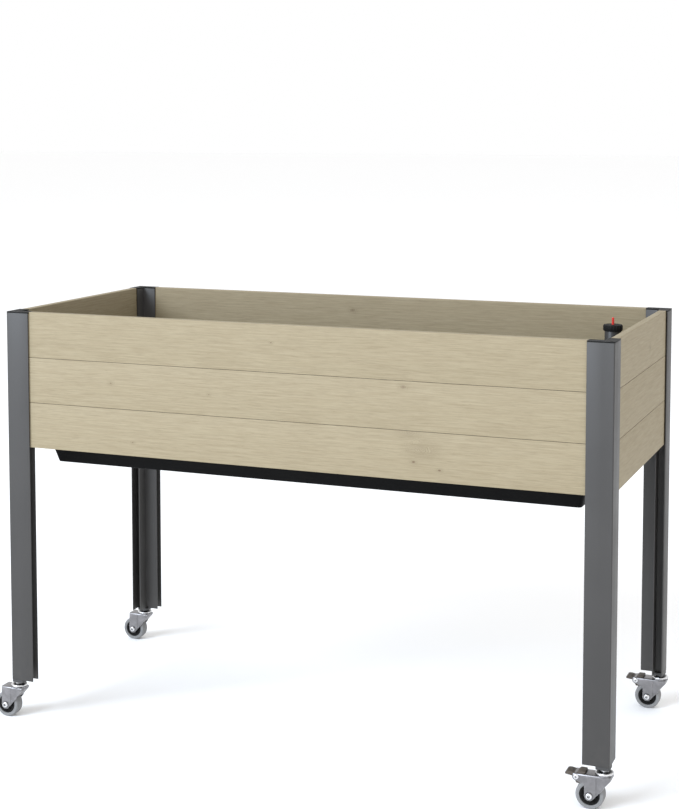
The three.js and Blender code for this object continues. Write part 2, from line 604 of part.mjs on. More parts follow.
// ---------------------------------------------------------------- castors
// Each castor is drawn about its swivel axis, with its wheel trailing towards -X.
function stemGeometry() {
  const rivetZ = CROWN_Z - SEAT_GAP - RIVET_HEIGHT;
  const spindle = turned([
    [0, rivetZ], [RIVET_R - 1, rivetZ], [RIVET_R, rivetZ + 1], [RIVET_R, rivetZ + RIVET_HEIGHT],
    [STEM_R, rivetZ + RIVET_HEIGHT], [STEM_R, STEM_PLATE_Z], [RACE_R, STEM_PLATE_Z],
    [RACE_R, COLLAR_Z - 1], [RACE_R - 1.5, COLLAR_Z], [STEM_R, COLLAR_Z],
    [STEM_R, STEM_TOP_Z - 1], [STEM_R - 1, STEM_TOP_Z], [0, STEM_TOP_Z],
  ]);
  const corner = COLLAR_AF / Math.sqrt(3);
  const collar = turned([
    [0, COLLAR_Z - 0.5], [corner, COLLAR_Z - 0.5], [corner, COLLAR_Z + COLLAR_HEIGHT], [0, COLLAR_Z + COLLAR_HEIGHT],
  ], 6);
  return shell(join(spindle, collar));
}

// Outline of a fork cheek. The braked castors have an ear that carries the pedal's pin.
function cheekOutline(braked) {
  const axleX = -CASTOR_TRAIL;
  const backX = axleX - CHEEK_EYE_R;
  const shape = new THREE.Shape();
  shape.moveTo(CHEEK_FRONT_X, CROWN_TOP_Z - 1);
  shape.lineTo(CHEEK_FRONT_X, CROWN_TOP_Z - CHEEK_SHOULDER);
  shape.absarc(axleX, WHEEL_R, CHEEK_EYE_R, CHEEK_SLOPE_END, -Math.PI, true);
  if (braked) {
    const hollowZ = WHEEL_R + CHEEK_STRAIGHT;
    shape.lineTo(backX, hollowZ);
    shape.quadraticCurveTo(
      backX, hollowZ + CHEEK_HOLLOW, PEDAL_PIVOT_X + PEDAL_EYE_R / 2, PEDAL_PIVOT_Z - PEDAL_EYE_R + 1,
    );
    shape.absarc(PEDAL_PIVOT_X, PEDAL_PIVOT_Z, PEDAL_EYE_R, -Math.PI / 2, -Math.PI * 1.4, true);
    shape.lineTo(PEDAL_PIVOT_X + PEDAL_EYE_R, CROWN_TOP_Z - 1);
    shape.holes.push(new THREE.Path().absarc(PEDAL_PIVOT_X, PEDAL_PIVOT_Z, PEDAL_PIN_R + SEAT_GAP, 0, Math.PI * 2));
  } else {
    shape.lineTo(backX, CROWN_TOP_Z - 1);
  }
  shape.holes.push(new THREE.Path().absarc(axleX, WHEEL_R, AXLE_R + SEAT_GAP, 0, Math.PI * 2));
  return shape;
}

function forkGeometry(braked) {
  const outline = cheekOutline(braked);
  const frontCheek = sideways(outline, -FORK_OUTSIDE, -FORK_HALF, 4);
  const rearCheek = sideways(outline, FORK_HALF, FORK_OUTSIDE, 4);
  const crownEnd = -CASTOR_TRAIL - CHEEK_EYE_R;
  const crown = raise(polygon([
    [crownEnd, -FORK_OUTSIDE], [CHEEK_FRONT_X, -FORK_OUTSIDE], [RACE_R, -FORK_OUTSIDE + CROWN_CORNER],
    [RACE_R, FORK_OUTSIDE - CROWN_CORNER], [CHEEK_FRONT_X, FORK_OUTSIDE], [crownEnd, FORK_OUTSIDE],
  ]), CROWN_Z, CROWN_TOP_Z);
  const bendZ = CROWN_TOP_Z - CHEEK_SHOULDER;
  const web = sideways(polygon([
    [CHEEK_FRONT_X, CROWN_Z + 1], [CHEEK_FRONT_X - FORK_PLATE, CROWN_Z + 1], [CHEEK_FRONT_X - FORK_PLATE, bendZ + 0.5],
    [CHEEK_FRONT_X - WEB_RUN - FORK_PLATE, bendZ - WEB_FALL + 0.5], [CHEEK_FRONT_X - WEB_RUN, bendZ - WEB_FALL],
    [CHEEK_FRONT_X, bendZ],
  ]), -FORK_OUTSIDE, FORK_OUTSIDE);
  const race = turned([[0, CROWN_TOP_Z - 1], [RACE_R - 1, CROWN_TOP_Z - 1], [RACE_R - 1, RACE_TOP_Z], [0, RACE_TOP_Z]]);
  const bore = roundHole(0, 0, STEM_R + RUNNING_GAP, CROWN_Z - 1, RACE_TOP_Z + 1);
  return shell(join(frontCheek, rearCheek, crown, web, race).subtract(bore));
}

// Pieces on the axle are turned about Z and then laid along Y.
const acrossY = (geometry) => geometry.rotateX(Math.PI / 2);

function axleGeometry() {
  const face = FORK_OUTSIDE + SEAT_GAP;
  return acrossY(turned([
    [0, -face - AXLE_HEAD], [AXLE_HEAD_R - 1.2, -face - AXLE_HEAD], [AXLE_HEAD_R, -face - AXLE_HEAD + 1.2],
    [AXLE_HEAD_R, -face], [AXLE_R, -face], [AXLE_R, face], [AXLE_HEAD_R, face],
    [AXLE_HEAD_R, face + AXLE_HEAD], [0, face + AXLE_HEAD],
  ]));
}

function hubGeometry() {
  const bore = AXLE_R + RUNNING_GAP;
  const boss = FORK_HALF - RUNNING_GAP;
  const rim = TYRE_WIDTH / 2 - HUB_RIM_STEP;
  const web = HUB_WEB_WIDTH / 2;
  return acrossY(turned([
    [bore, -boss], [HUB_BOSS_R, -boss], [HUB_BOSS_R + 1, -web], [HUB_R - 3, -web], [HUB_R - 2, -rim], [HUB_R, -rim],
    [HUB_R, rim], [HUB_R - 2, rim], [HUB_R - 3, web], [HUB_BOSS_R + 1, web], [HUB_BOSS_R, boss], [bore, boss],
    [bore, -boss],
  ], WHEEL_FACETS));
}

function tyreGeometry() {
  const seat = HUB_R + SEAT_GAP;
  const half = TYRE_WIDTH / 2;
  const tread = half - 3.5;
  const tyre = turned([
    [seat, -half + 2], [seat + 1.5, -half], [TYRE_R - 3, -half], [TYRE_R - 0.8, -half + 1.6], [TYRE_R, -tread],
    [TYRE_R, tread], [TYRE_R - 0.8, half - 1.6], [TYRE_R - 3, half], [seat + 1.5, half], [seat, half - 2],
    [seat, -half + 2],
  ], WHEEL_FACETS);
  // A half-facet turn sets one flat of the tread on the floor.
  return acrossY(tyre.rotateZ(Math.PI / WHEEL_FACETS));
}

// The brake pedal about its pivot, released: foot plate to -X, release tab over the crown, shoe below.
// Its foot plate goes down by PEDAL_PRESS degrees until the shoe meets the tyre.
function pedalGeometry() {
  const reach = Math.hypot(PEDAL_PIVOT_X + CASTOR_TRAIL, PEDAL_PIVOT_Z - WHEEL_R);
  const shoe = reach - TYRE_R - SEAT_GAP;
  const toWheel = Math.atan2(WHEEL_R - PEDAL_PIVOT_Z, -CASTOR_TRAIL - PEDAL_PIVOT_X);
  const polar = (radius, degrees) => {
    const angle = toWheel + THREE.MathUtils.degToRad(degrees - PEDAL_PRESS);
    return [radius * Math.cos(angle), radius * Math.sin(angle)];
  };
  const seat = PEDAL_PIVOT_DROP + TAB_CLEARANCE;
  const outline = polygon([
    [-20, 3.4], [-19.4, 7.4], [-17, 10], [-13, 11.2], [-6, 10.4], [0.5, 8.4], [3, 11.2],
    [TAB_REACH - 2, 11.6], [TAB_REACH, 10.2], [TAB_REACH, seat], [8, 3],
    polar(shoe * 0.72, 20), polar(shoe, 0), polar(shoe * 0.9, -24), [-6.5, -5],
  ]);
  outline.holes.push(new THREE.Path().absarc(0, 0, PEDAL_PIN_R + SEAT_GAP, 0, Math.PI * 2));
  const half = FORK_HALF - PEDAL_SIDE_CLEARANCE;
  return sideways(outline, -half, half, 5);
}

function pedalPinGeometry() {
  const face = FORK_OUTSIDE + SEAT_GAP;
  const end = face + PIN_HEAD;
  return acrossY(turned([
    [0, -end], [PIN_HEAD_R - 0.7, -end], [PIN_HEAD_R, -face], [PEDAL_PIN_R, -face],
    [PEDAL_PIN_R, face], [PIN_HEAD_R, face], [PIN_HEAD_R - 0.7, end], [0, end],
  ]));
}

for (const corner of CORNERS) {
  const castor = new THREE.Group();
  castor.position.set(
    corner.sideX * (HALF_LENGTH - STEM_INSET), corner.sideY * (HALF_DEPTH - STEM_INSET), 0,
  );
  planter.add(castor);
  place(`castor_stem_${corner.name}`, stemGeometry(), zincSteel, 0, 0, 0, castor);
  place(`castor_fork_${corner.name}`, forkGeometry(corner.braked), zincSteel, 0, 0, 0, castor);
  place(`wheel_axle_${corner.name}`, axleGeometry(), zincSteel, -CASTOR_TRAIL, 0, WHEEL_R, castor);
  place(`wheel_hub_${corner.name}`, hubGeometry(), hubPlastic, -CASTOR_TRAIL, 0, WHEEL_R, castor);
  place(`wheel_tyre_${corner.name}`, tyreGeometry(), greyRubber, -CASTOR_TRAIL, 0, WHEEL_R, castor);
  if (corner.braked) {
    place(`brake_pedal_${corner.name}`, pedalGeometry(), pedalPlastic, PEDAL_PIVOT_X, 0, PEDAL_PIVOT_Z, castor);
    place(`brake_pin_${corner.name}`, pedalPinGeometry(), zincSteel, PEDAL_PIVOT_X, 0, PEDAL_PIVOT_Z, castor);
  }
}

export default planter;
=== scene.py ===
"""Looks of a raised planter: board walls in four corner posts, a water tray below, and castors.

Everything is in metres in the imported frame: +Z up, +X along the planter, -Y its front.
"""

import logging
import math
import random
from dataclasses import dataclass, field
from enum import Enum
from typing import Callable, Iterable, Sequence

import bmesh
import bpy
from mathutils import Matrix, Vector


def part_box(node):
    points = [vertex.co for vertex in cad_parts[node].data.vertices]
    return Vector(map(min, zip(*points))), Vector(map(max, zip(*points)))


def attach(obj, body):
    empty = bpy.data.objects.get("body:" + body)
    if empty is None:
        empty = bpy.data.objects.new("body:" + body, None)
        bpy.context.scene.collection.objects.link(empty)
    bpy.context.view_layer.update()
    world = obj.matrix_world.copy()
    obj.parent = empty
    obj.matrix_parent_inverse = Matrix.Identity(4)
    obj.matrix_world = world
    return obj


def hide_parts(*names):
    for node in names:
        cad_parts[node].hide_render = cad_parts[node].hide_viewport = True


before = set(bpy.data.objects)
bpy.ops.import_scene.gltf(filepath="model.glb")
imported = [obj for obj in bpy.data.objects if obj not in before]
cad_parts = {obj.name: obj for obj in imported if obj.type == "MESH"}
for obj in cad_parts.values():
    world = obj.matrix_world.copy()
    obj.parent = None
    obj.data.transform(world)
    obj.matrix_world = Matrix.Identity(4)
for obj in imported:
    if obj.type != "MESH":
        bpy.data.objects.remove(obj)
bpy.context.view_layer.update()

LOG = logging.getLogger("planter")
MM = 0.001
TURN = 2 * math.pi

Colour = tuple[float, float, float, float]
Socket = bpy.types.NodeSocket
Thing = bpy.types.Object


# ------------------------------------------------------------------ named choices
class Corner(Enum):
    """The four corners, each with its side along X and Y and whether its castor has a brake."""

    FRONT_LEFT = ("front_left", -1, -1, False)
    FRONT_RIGHT = ("front_right", 1, -1, True)
    REAR_LEFT = ("rear_left", -1, 1, False)
    REAR_RIGHT = ("rear_right", 1, 1, True)

    def __init__(self, label: str, side_x: int, side_y: int, braked: bool) -> None:
        """Keep the corner's label, its two sides and its brake."""
        self.label = label
        self.side_x = side_x
        self.side_y = side_y
        self.braked = braked


class Wall(Enum):
    """The four board walls, each with the way that it faces."""

    FRONT = ("front", (0, -1, 0))
    RIGHT = ("right", (1, 0, 0))
    REAR = ("rear", (0, 1, 0))
    LEFT = ("left", (-1, 0, 0))

    def __init__(self, label: str, facing: tuple[int, int, int]) -> None:
        """Keep the wall's label and its outward direction."""
        self.label = label
        self.facing = Vector(facing)

    @property
    def along(self) -> int:
        """The axis its boards run along: 0 for X, 1 for Y."""
        return 0 if self.facing.y else 1

    @property
    def through(self) -> int:
        """The axis through its boards' thickness."""
        return 1 - self.along


class Row(Enum):
    """The three boards of a wall, from the lowest up."""

    BOTTOM = "bottom"
    MIDDLE = "middle"
    TOP = "top"


# ------------------------------------------------------------------ modelling bench
class Piece:
    """One piece on the bench: a primitive that is shaped in edit mode with Blender's operators."""

    def __init__(self, name: str) -> None:
        """Clear the bench.

        Args:
            name: what the finished piece is called.
        """
        if bpy.context.mode != "OBJECT":
            bpy.ops.object.mode_set(mode="OBJECT")
        bpy.ops.object.select_all(action="DESELECT")
        self.name = name
        self.thing: Thing | None = None

    def _open(self, place: Vector, size: Vector) -> "Piece":
        """Size and place the primitive just added, then open it in edit mode.

        Args:
            place: its middle.
            size: its length along each axis.

        Returns:
            This piece.
        """
        self.thing = bpy.context.active_object
        self.thing.name = self.name
        self.thing.location = place
        self.thing.scale = size
        bpy.ops.object.transform_apply(location=True, rotation=True, scale=True)
        bpy.ops.object.mode_set(mode="EDIT")
        return self

    def block(self, low: Sequence[float], high: Sequence[float]) -> "Piece":
        """Start from a block between two corners.

        Args:
            low: its lowest corner.
            high: its highest corner.

        Returns:
            This piece.
        """
        bpy.ops.mesh.primitive_cube_add(size=1)
        return self._open((Vector(low) + Vector(high)) / 2, Vector(high) - Vector(low))

    def sheet(self, low: Sequence[float], high: Sequence[float]) -> "Piece":
        """Start from a level sheet at the lowest corner's height.

        Args:
            low: its lowest corner.
            high: its opposite corner.

        Returns:
            This piece.
        """
        bpy.ops.mesh.primitive_plane_add(size=1)
        middle = Vector(((low[0] + high[0]) / 2, (low[1] + high[1]) / 2, low[2]))
        return self._open(middle, Vector((high[0] - low[0], high[1] - low[1], 1)))

    def prism(self, middle: Sequence[float], radius: float, height: float, sides: int) -> "Piece":
        """Start from an upright prism.

        Args:
            middle: its middle.
            radius: from its axis to a corner.
            height: its height.
            sides: how many sides it has.

        Returns:
            This piece.
        """
        bpy.ops.mesh.primitive_cylinder_add(vertices=sides, radius=1, depth=1)
        return self._open(Vector(middle), Vector((radius, radius, height)))

    def line(self, points: Iterable[Sequence[float]]) -> "Piece":
        """Draw a chain of edges by extruding one point again and again.

        Args:
            points: where the chain goes.

        Returns:
            This piece.
        """
        route = [Vector(point) for point in points]
        bpy.ops.mesh.primitive_plane_add(size=1)
        self._open(route[0], Vector((1, 1, 1)))
        bpy.ops.mesh.select_mode(type="VERT")
        bpy.ops.mesh.select_all(action="SELECT")
        bpy.ops.mesh.merge(type="CENTER")
        for here, there in zip(route, route[1:]):
            bpy.ops.mesh.extrude_region_move(TRANSFORM_OT_translate={"value": there - here})
        return self

    def every(self) -> "Piece":
        """Select all of the piece."""
        bpy.ops.mesh.select_all(action="SELECT")
        return self

    def faces(self, wanted: Callable[[Vector, Vector], bool]) -> "Piece":
        """Select faces by their middle and normal.

        Args:
            wanted: says of a face's middle and normal whether it is taken.

        Returns:
            This piece.
        """
        bpy.ops.mesh.select_mode(type="FACE")
        bpy.ops.mesh.select_all(action="DESELECT")
        shape = bmesh.from_edit_mesh(self.thing.data)
        for face in shape.faces:
            if wanted(face.calc_center_median(), face.normal):
                face.select_set(True)
        shape.select_flush_mode()
        bmesh.update_edit_mesh(self.thing.data)
        return self

    def edges(self, wanted: Callable[[Vector, Vector], bool]) -> "Piece":
        """Select edges by their two ends.

        Args:
            wanted: says of an edge's two ends whether it is taken.

        Returns:
            This piece.
        """
        bpy.ops.mesh.select_mode(type="EDGE")
        bpy.ops.mesh.select_all(action="DESELECT")
        shape = bmesh.from_edit_mesh(self.thing.data)
        for edge in shape.edges:
            if wanted(edge.verts[0].co, edge.verts[1].co):
                edge.select_set(True)
        shape.select_flush_mode()
        bmesh.update_edit_mesh(self.thing.data)
        return self

    def points(self, wanted: Callable[[Vector], bool]) -> "Piece":
        """Select points by their place.

        Args:
            wanted: says of a point whether it is taken.

        Returns:
            This piece.
        """
        bpy.ops.mesh.select_mode(type="VERT")
        bpy.ops.mesh.select_all(action="DESELECT")
        shape = bmesh.from_edit_mesh(self.thing.data)
        for point in shape.verts:
            if wanted(point.co):
                point.select_set(True)
        shape.select_flush_mode()
        bmesh.update_edit_mesh(self.thing.data)
        return self

    def extrude(self, by: Sequence[float]) -> "Piece":
        """Pull the selection out by a vector."""
        bpy.ops.mesh.extrude_region_move(TRANSFORM_OT_translate={"value": by})
        return self

    def move(self, by: Sequence[float]) -> "Piece":
        """Move the selection by a vector."""
        bpy.ops.transform.translate(value=by)
        return self

    def resize(self, factors: Sequence[float], about: Sequence[float]) -> "Piece":
        """Scale the selection about a point."""
        bpy.ops.transform.resize(value=factors, center_override=about)
        return self

    def inset(self, width: float, depth: float = 0.0) -> "Piece":
        """Inset the selected faces by a width, and sink or raise them by a depth."""
        bpy.ops.mesh.inset(thickness=width, depth=depth, use_even_offset=True)
        return self

    def bevel(self, width: float, steps: int = 2) -> "Piece":
        """Round the selected edges with a width, in so many steps."""
        bpy.ops.mesh.bevel(offset=width, segments=steps, affect="EDGES", clamp_overlap=True)
        return self

    def slice(self, axis: int, *places: float) -> "Piece":
        """Cut new edges round the piece where planes across one axis meet it.

        Args:
            axis: 0, 1 or 2 for X, Y or Z.
            places: where the planes are along it.

        Returns:
            This piece.
        """
        for place in places:
            spot, normal = Vector((0, 0, 0)), Vector((0, 0, 0))
            spot[axis], normal[axis] = place, 1
            self.every()
            bpy.ops.mesh.bisect(plane_co=spot, plane_no=normal)
        return self

    def remove(self) -> "Piece":
        """Delete the selected faces."""
        bpy.ops.mesh.delete(type="FACE")
        return self

    def fill(self) -> "Piece":
        """Close a drawn outline and make it a face."""
        self.every()
        bpy.ops.mesh.remove_doubles(threshold=1e-6)
        bpy.ops.mesh.edge_face_add()
        return self

    def spin(self, centre: Sequence[float], axis: Sequence[float], steps: int) -> "Piece":
        """Turn a drawn profile once round an axis.

        Args:
            centre: a point on the axis.
            axis: its direction.
            steps: how many steps make the full turn.

        Returns:
            This piece.
        """
        self.every()
        bpy.ops.mesh.spin(steps=steps, angle=TURN, center=centre, axis=axis)
        return self.seal()

    def seal(self) -> "Piece":
        """Merge double points and turn all faces outwards."""
        self.every()
        bpy.ops.mesh.remove_doubles(threshold=2e-6)
        bpy.ops.mesh.normals_make_consistent(inside=False)
        return self

    def _modifier(self, kind: str, **settings: object) -> "Piece":
        """Add a modifier, apply it and return to edit mode.

        Args:
            kind: the modifier's type.
            settings: its settings.

        Returns:
            This piece.
        """
        bpy.ops.object.mode_set(mode="OBJECT")
        modifier = self.thing.modifiers.new(kind.lower(), kind)
        for key, value in settings.items():
            setattr(modifier, key, value)
        bpy.context.view_layer.objects.active = self.thing
        bpy.ops.object.modifier_apply(modifier=modifier.name)
        bpy.ops.object.mode_set(mode="EDIT")
        return self

    def soften(self, width: float, steps: int = 2, above: float = 35.0) -> "Piece":
        """Round every edge sharper than an angle.

        Args:
            width: of the rounding.
            steps: across the rounding.
            above: the angle in degrees.

        Returns:
            This piece.
        """
        return self._modifier(
            "BEVEL", width=width, segments=steps, limit_method="ANGLE", angle_limit=math.radians(above)
        )

    def thicken(self, thickness: float, side: float = -1.0) -> "Piece":
        """Give a shell its wall, inwards unless side is 1."""
        return self._modifier("SOLIDIFY", thickness=thickness, offset=side, use_even_offset=True)

    def repeat(self, count: int, step: Sequence[float]) -> "Piece":
        """Lay copies of the piece in a row and merge where they meet."""
        return self._modifier(
            "ARRAY",
            count=count,
            use_relative_offset=False,
            use_constant_offset=True,
            constant_offset_displace=step,
            use_merge_vertices=True,
            merge_threshold=1e-5,
        )

    def combine(self, other: Thing, operation: str) -> "Piece":
        """Join with, cut by or keep the overlap with another object, which is used up.

        Args:
            other: the other object.
            operation: UNION, DIFFERENCE or INTERSECT.

        Returns:
            This piece.
        """
        bpy.context.view_layer.objects.active = self.thing
        bpy.ops.object.mode_set(mode="EDIT")
        self._modifier("BOOLEAN", object=other, operation=operation, solver="EXACT")
        bpy.data.objects.remove(other)
        return self

    def bore(self, middle: Sequence[float], radius: float, depth: float, sides: int = 48) -> "Piece":
        """Bore an upright round hole.

        Args:
            middle: the hole's middle.
            radius: its radius.
            depth: how deep it goes.
            sides: how many sides its wall has.

        Returns:
            This piece.
        """
        return self.combine(Piece("cutter").prism(middle, radius, depth, sides).done(), "DIFFERENCE")

    def done(self, smooth_below: float = 35.0) -> Thing:
        """Take the piece off the bench.

        Args:
            smooth_below: faces that meet at less than this angle, in degrees, are shaded smooth.

        Returns:
            The finished object, at the origin with its place in its mesh.
        """
        bpy.ops.object.mode_set(mode="OBJECT")
        bpy.ops.object.select_all(action="DESELECT")
        self.thing.select_set(True)
        bpy.context.view_layer.objects.active = self.thing
        bpy.ops.object.shade_smooth_by_angle(angle=math.radians(smooth_below))
        return self.thing


def turned(
    name: str,
    profile: Sequence[tuple[float, float]],
    centre: Sequence[float],
    across: bool = False,
    steps: int = 40,
) -> Piece:
    """Draw a profile and turn it about Z or Y.

    Args:
        name: the piece's name.
        profile: radius and distance along the axis of each point.
        centre: where the profile's zero lies.
        across: about Y in place of Z.
        steps: steps of the full turn.

    Returns:
        The piece, still on the bench.
    """
    x, y, z = centre
    if across:
        route = [(x + radius, y + along, z) for radius, along in profile]
        return Piece(name).line(route).spin(centre, (0, 1, 0), steps)
    route = [(x + radius, y, z + along) for radius, along in profile]
    return Piece(name).line(route).spin(centre, (0, 0, 1), steps)


def arc(centre: tuple[float, float], radius: float, start: float, end: float, steps: int) -> list[tuple[float, float]]:
    """Points along an arc.

    Args:
        centre: its centre.
        radius: its radius.
        start: the angle where it starts, in degrees.
        end: the angle where it ends, in degrees.
        steps: how many steps it has.

    Returns:
        The points, both ends included.
    """
    angles = [math.radians(start + (end - start) * step / steps) for step in range(steps + 1)]
    return [(centre[0] + radius * math.cos(a), centre[1] + radius * math.sin(a)) for a in angles]


def copied(source: Thing, name: str, by: Sequence[float]) -> Thing:
    """Copy a finished piece, with a mesh of its own.

    Args:
        source: the piece.
        name: the copy's name.
        by: how far the copy is from it.

    Returns:
        The copy.
    """
    twin = source.copy()
    twin.data = source.data.copy()
    twin.data.transform(Matrix.Translation(Vector(by)))
    twin.name = name
    bpy.context.scene.collection.objects.link(twin)
    return twin


def joined(first: Thing, *others: Thing) -> Thing:
    """Make one object of several finished pieces.

    Args:
        first: the piece that stays.
        others: the pieces that join it.

    Returns:
        The first piece, now with all of them.
    """
    bpy.ops.object.select_all(action="DESELECT")
    for thing in (first, *others):
        thing.select_set(True)
    bpy.context.view_layer.objects.active = first
    bpy.ops.object.join()
    return first


def dress(thing: Thing, material: bpy.types.Material, body: str, slot: str, *nodes: str) -> Thing:
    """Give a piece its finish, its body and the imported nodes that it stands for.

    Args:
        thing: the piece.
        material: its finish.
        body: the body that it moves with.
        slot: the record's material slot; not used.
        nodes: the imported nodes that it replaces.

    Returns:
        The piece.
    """
    thing.data.materials.clear()
    thing.data.materials.append(material)
    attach(thing, body)
    if nodes:
        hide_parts(*nodes)
    LOG.info("%s: %d faces on %s, for %s", thing.name, len(thing.data.polygons), body, ", ".join(nodes) or "detail")
    return thing


# ------------------------------------------------------------------ node trees
class Wiring:
    """Adds nodes to one tree and joins them up."""

    def __init__(self, tree: bpy.types.NodeTree) -> None:
        """Keep the tree."""
        self.tree = tree

    def node(self, kind: str, **settings: object) -> bpy.types.Node:
        """Add a node.

        Args:
            kind: its type.
            settings: its settings.

        Returns:
            The node.
        """
        made = self.tree.nodes.new(kind)
        made.location = (180 * len(self.tree.nodes), -60 * (len(self.tree.nodes) % 5))
        for key, value in settings.items():
            setattr(made, key, value)
        return made

    def feed(self, socket: Socket, value: object) -> None:
        """Join an output to a socket, or set the socket's own value."""
        if isinstance(value, bpy.types.NodeSocket):
            self.tree.links.new(value, socket)
        else:
            socket.default_value = value

    def math(self, operation: str, first: object, second: object = 0.0, third: object = 0.0) -> Socket:
        """Add a Math node.

        Args:
            operation: what it works out.
            first: its first value or output.
            second: its second.
            third: its third.

        Returns:
            Its result.
        """
        made = self.node("ShaderNodeMath", operation=operation)
        for socket, value in zip(made.inputs, (first, second, third)):
            self.feed(socket, value)
        return made.outputs[0]

    def vector(self, operation: str, first: object, second: object = (0.0, 0.0, 0.0)) -> bpy.types.Node:
        """Add a Vector Math node.

        Args:
            operation: what it works out.
            first: its first vector.
            second: its second vector.

        Returns:
            The node.
        """
        made = self.node("ShaderNodeVectorMath", operation=operation)
        self.feed(made.inputs[0], first)
        self.feed(made.inputs[1], second)
        return made

    def remap(self, value: Socket, low: object, high: object, to_low: object = 0.0, to_high: object = 1.0) -> Socket:
        """Map one range smoothly to another.

        Args:
            value: what is mapped.
            low: start of its range.
            high: end of its range.
            to_low: the result at the start.
            to_high: the result at the end.

        Returns:
            The result.
        """
        made = self.node("ShaderNodeMapRange", interpolation_type="SMOOTHSTEP")
        for index, given in enumerate((value, low, high, to_low, to_high)):
            self.feed(made.inputs[index], given)
        return made.outputs[0]

    def blend(self, share: object, first: object, second: object, kind: str = "MIX") -> Socket:
        """Mix two colours.

        Args:
            share: how much of the second.
            first: one colour.
            second: the other.
            kind: how they mix.

        Returns:
            The colour.
        """
        made = self.node("ShaderNodeMix", data_type="RGBA", blend_type=kind)
        self.feed(made.inputs[0], share)
        self.feed(made.inputs[6], first)
        self.feed(made.inputs[7], second)
        return made.outputs[2]

    def noise(self, place: Socket, scale: float, detail: float = 3.0, spread: float = 0.5) -> Socket:
        """Add a noise texture.

        Args:
            place: its coordinates.
            scale: cells in a metre.
            detail: octaves.
            spread: how rough it is.

        Returns:
            Its value.
        """
        made = self.node("ShaderNodeTexNoise", noise_dimensions="3D")
        self.feed(made.inputs["Vector"], place)
        self.feed(made.inputs["Scale"], scale)
        self.feed(made.inputs["Detail"], detail)
        self.feed(made.inputs["Roughness"], spread)
        return made.outputs[0]

    def stretch(self, place: Socket, scale: Sequence[float]) -> Socket:
        """Scale coordinates along each axis."""
        made = self.node("ShaderNodeMapping")
        self.feed(made.inputs["Vector"], place)
        self.feed(made.inputs["Scale"], scale)
        return made.outputs[0]

    def group(self, tree: bpy.types.NodeTree, **values: object) -> bpy.types.Node:
        """Place a node group.

        Args:
            tree: the group.
            values: what goes into its inputs, by name.

        Returns:
            The group's node.
        """
        made = self.node("ShaderNodeGroup", node_tree=tree)
        for key, value in values.items():
            self.feed(made.inputs[key.replace("_", " ").capitalize()], value)
        return made

    def bump(self, height: Socket, distance: float, strength: float = 1.0) -> Socket:
        """Turn a height into a normal.

        Args:
            height: from 0 to 1.
            distance: what 1 stands for, in metres.
            strength: how much of it shows.

        Returns:
            The normal.
        """
        made = self.node("ShaderNodeBump")
        self.feed(made.inputs["Height"], height)
        self.feed(made.inputs["Distance"], distance)
        self.feed(made.inputs["Strength"], strength)
        return made.outputs[0]


def start_group(name: str, takes: dict[str, str], gives: dict[str, str]) -> tuple[Wiring, dict, dict]:
    """Open a new node group.

    Args:
        name: its name.
        takes: its inputs and their socket types.
        gives: its outputs and their socket types.

    Returns:
        The group's wiring, its input sockets inside and its output sockets inside, by name.
    """
    tree = bpy.data.node_groups.new(name, "ShaderNodeTree")
    for label, kind in takes.items():
        tree.interface.new_socket(name=label, in_out="INPUT", socket_type=f"NodeSocket{kind}")
    for label, kind in gives.items():
        tree.interface.new_socket(name=label, in_out="OUTPUT", socket_type=f"NodeSocket{kind}")
    wiring = Wiring(tree)
    inside = wiring.node("NodeGroupInput")
    outside = wiring.node("NodeGroupOutput")
    return wiring, {k: inside.outputs[k] for k in takes}, {k: outside.inputs[k] for k in gives}


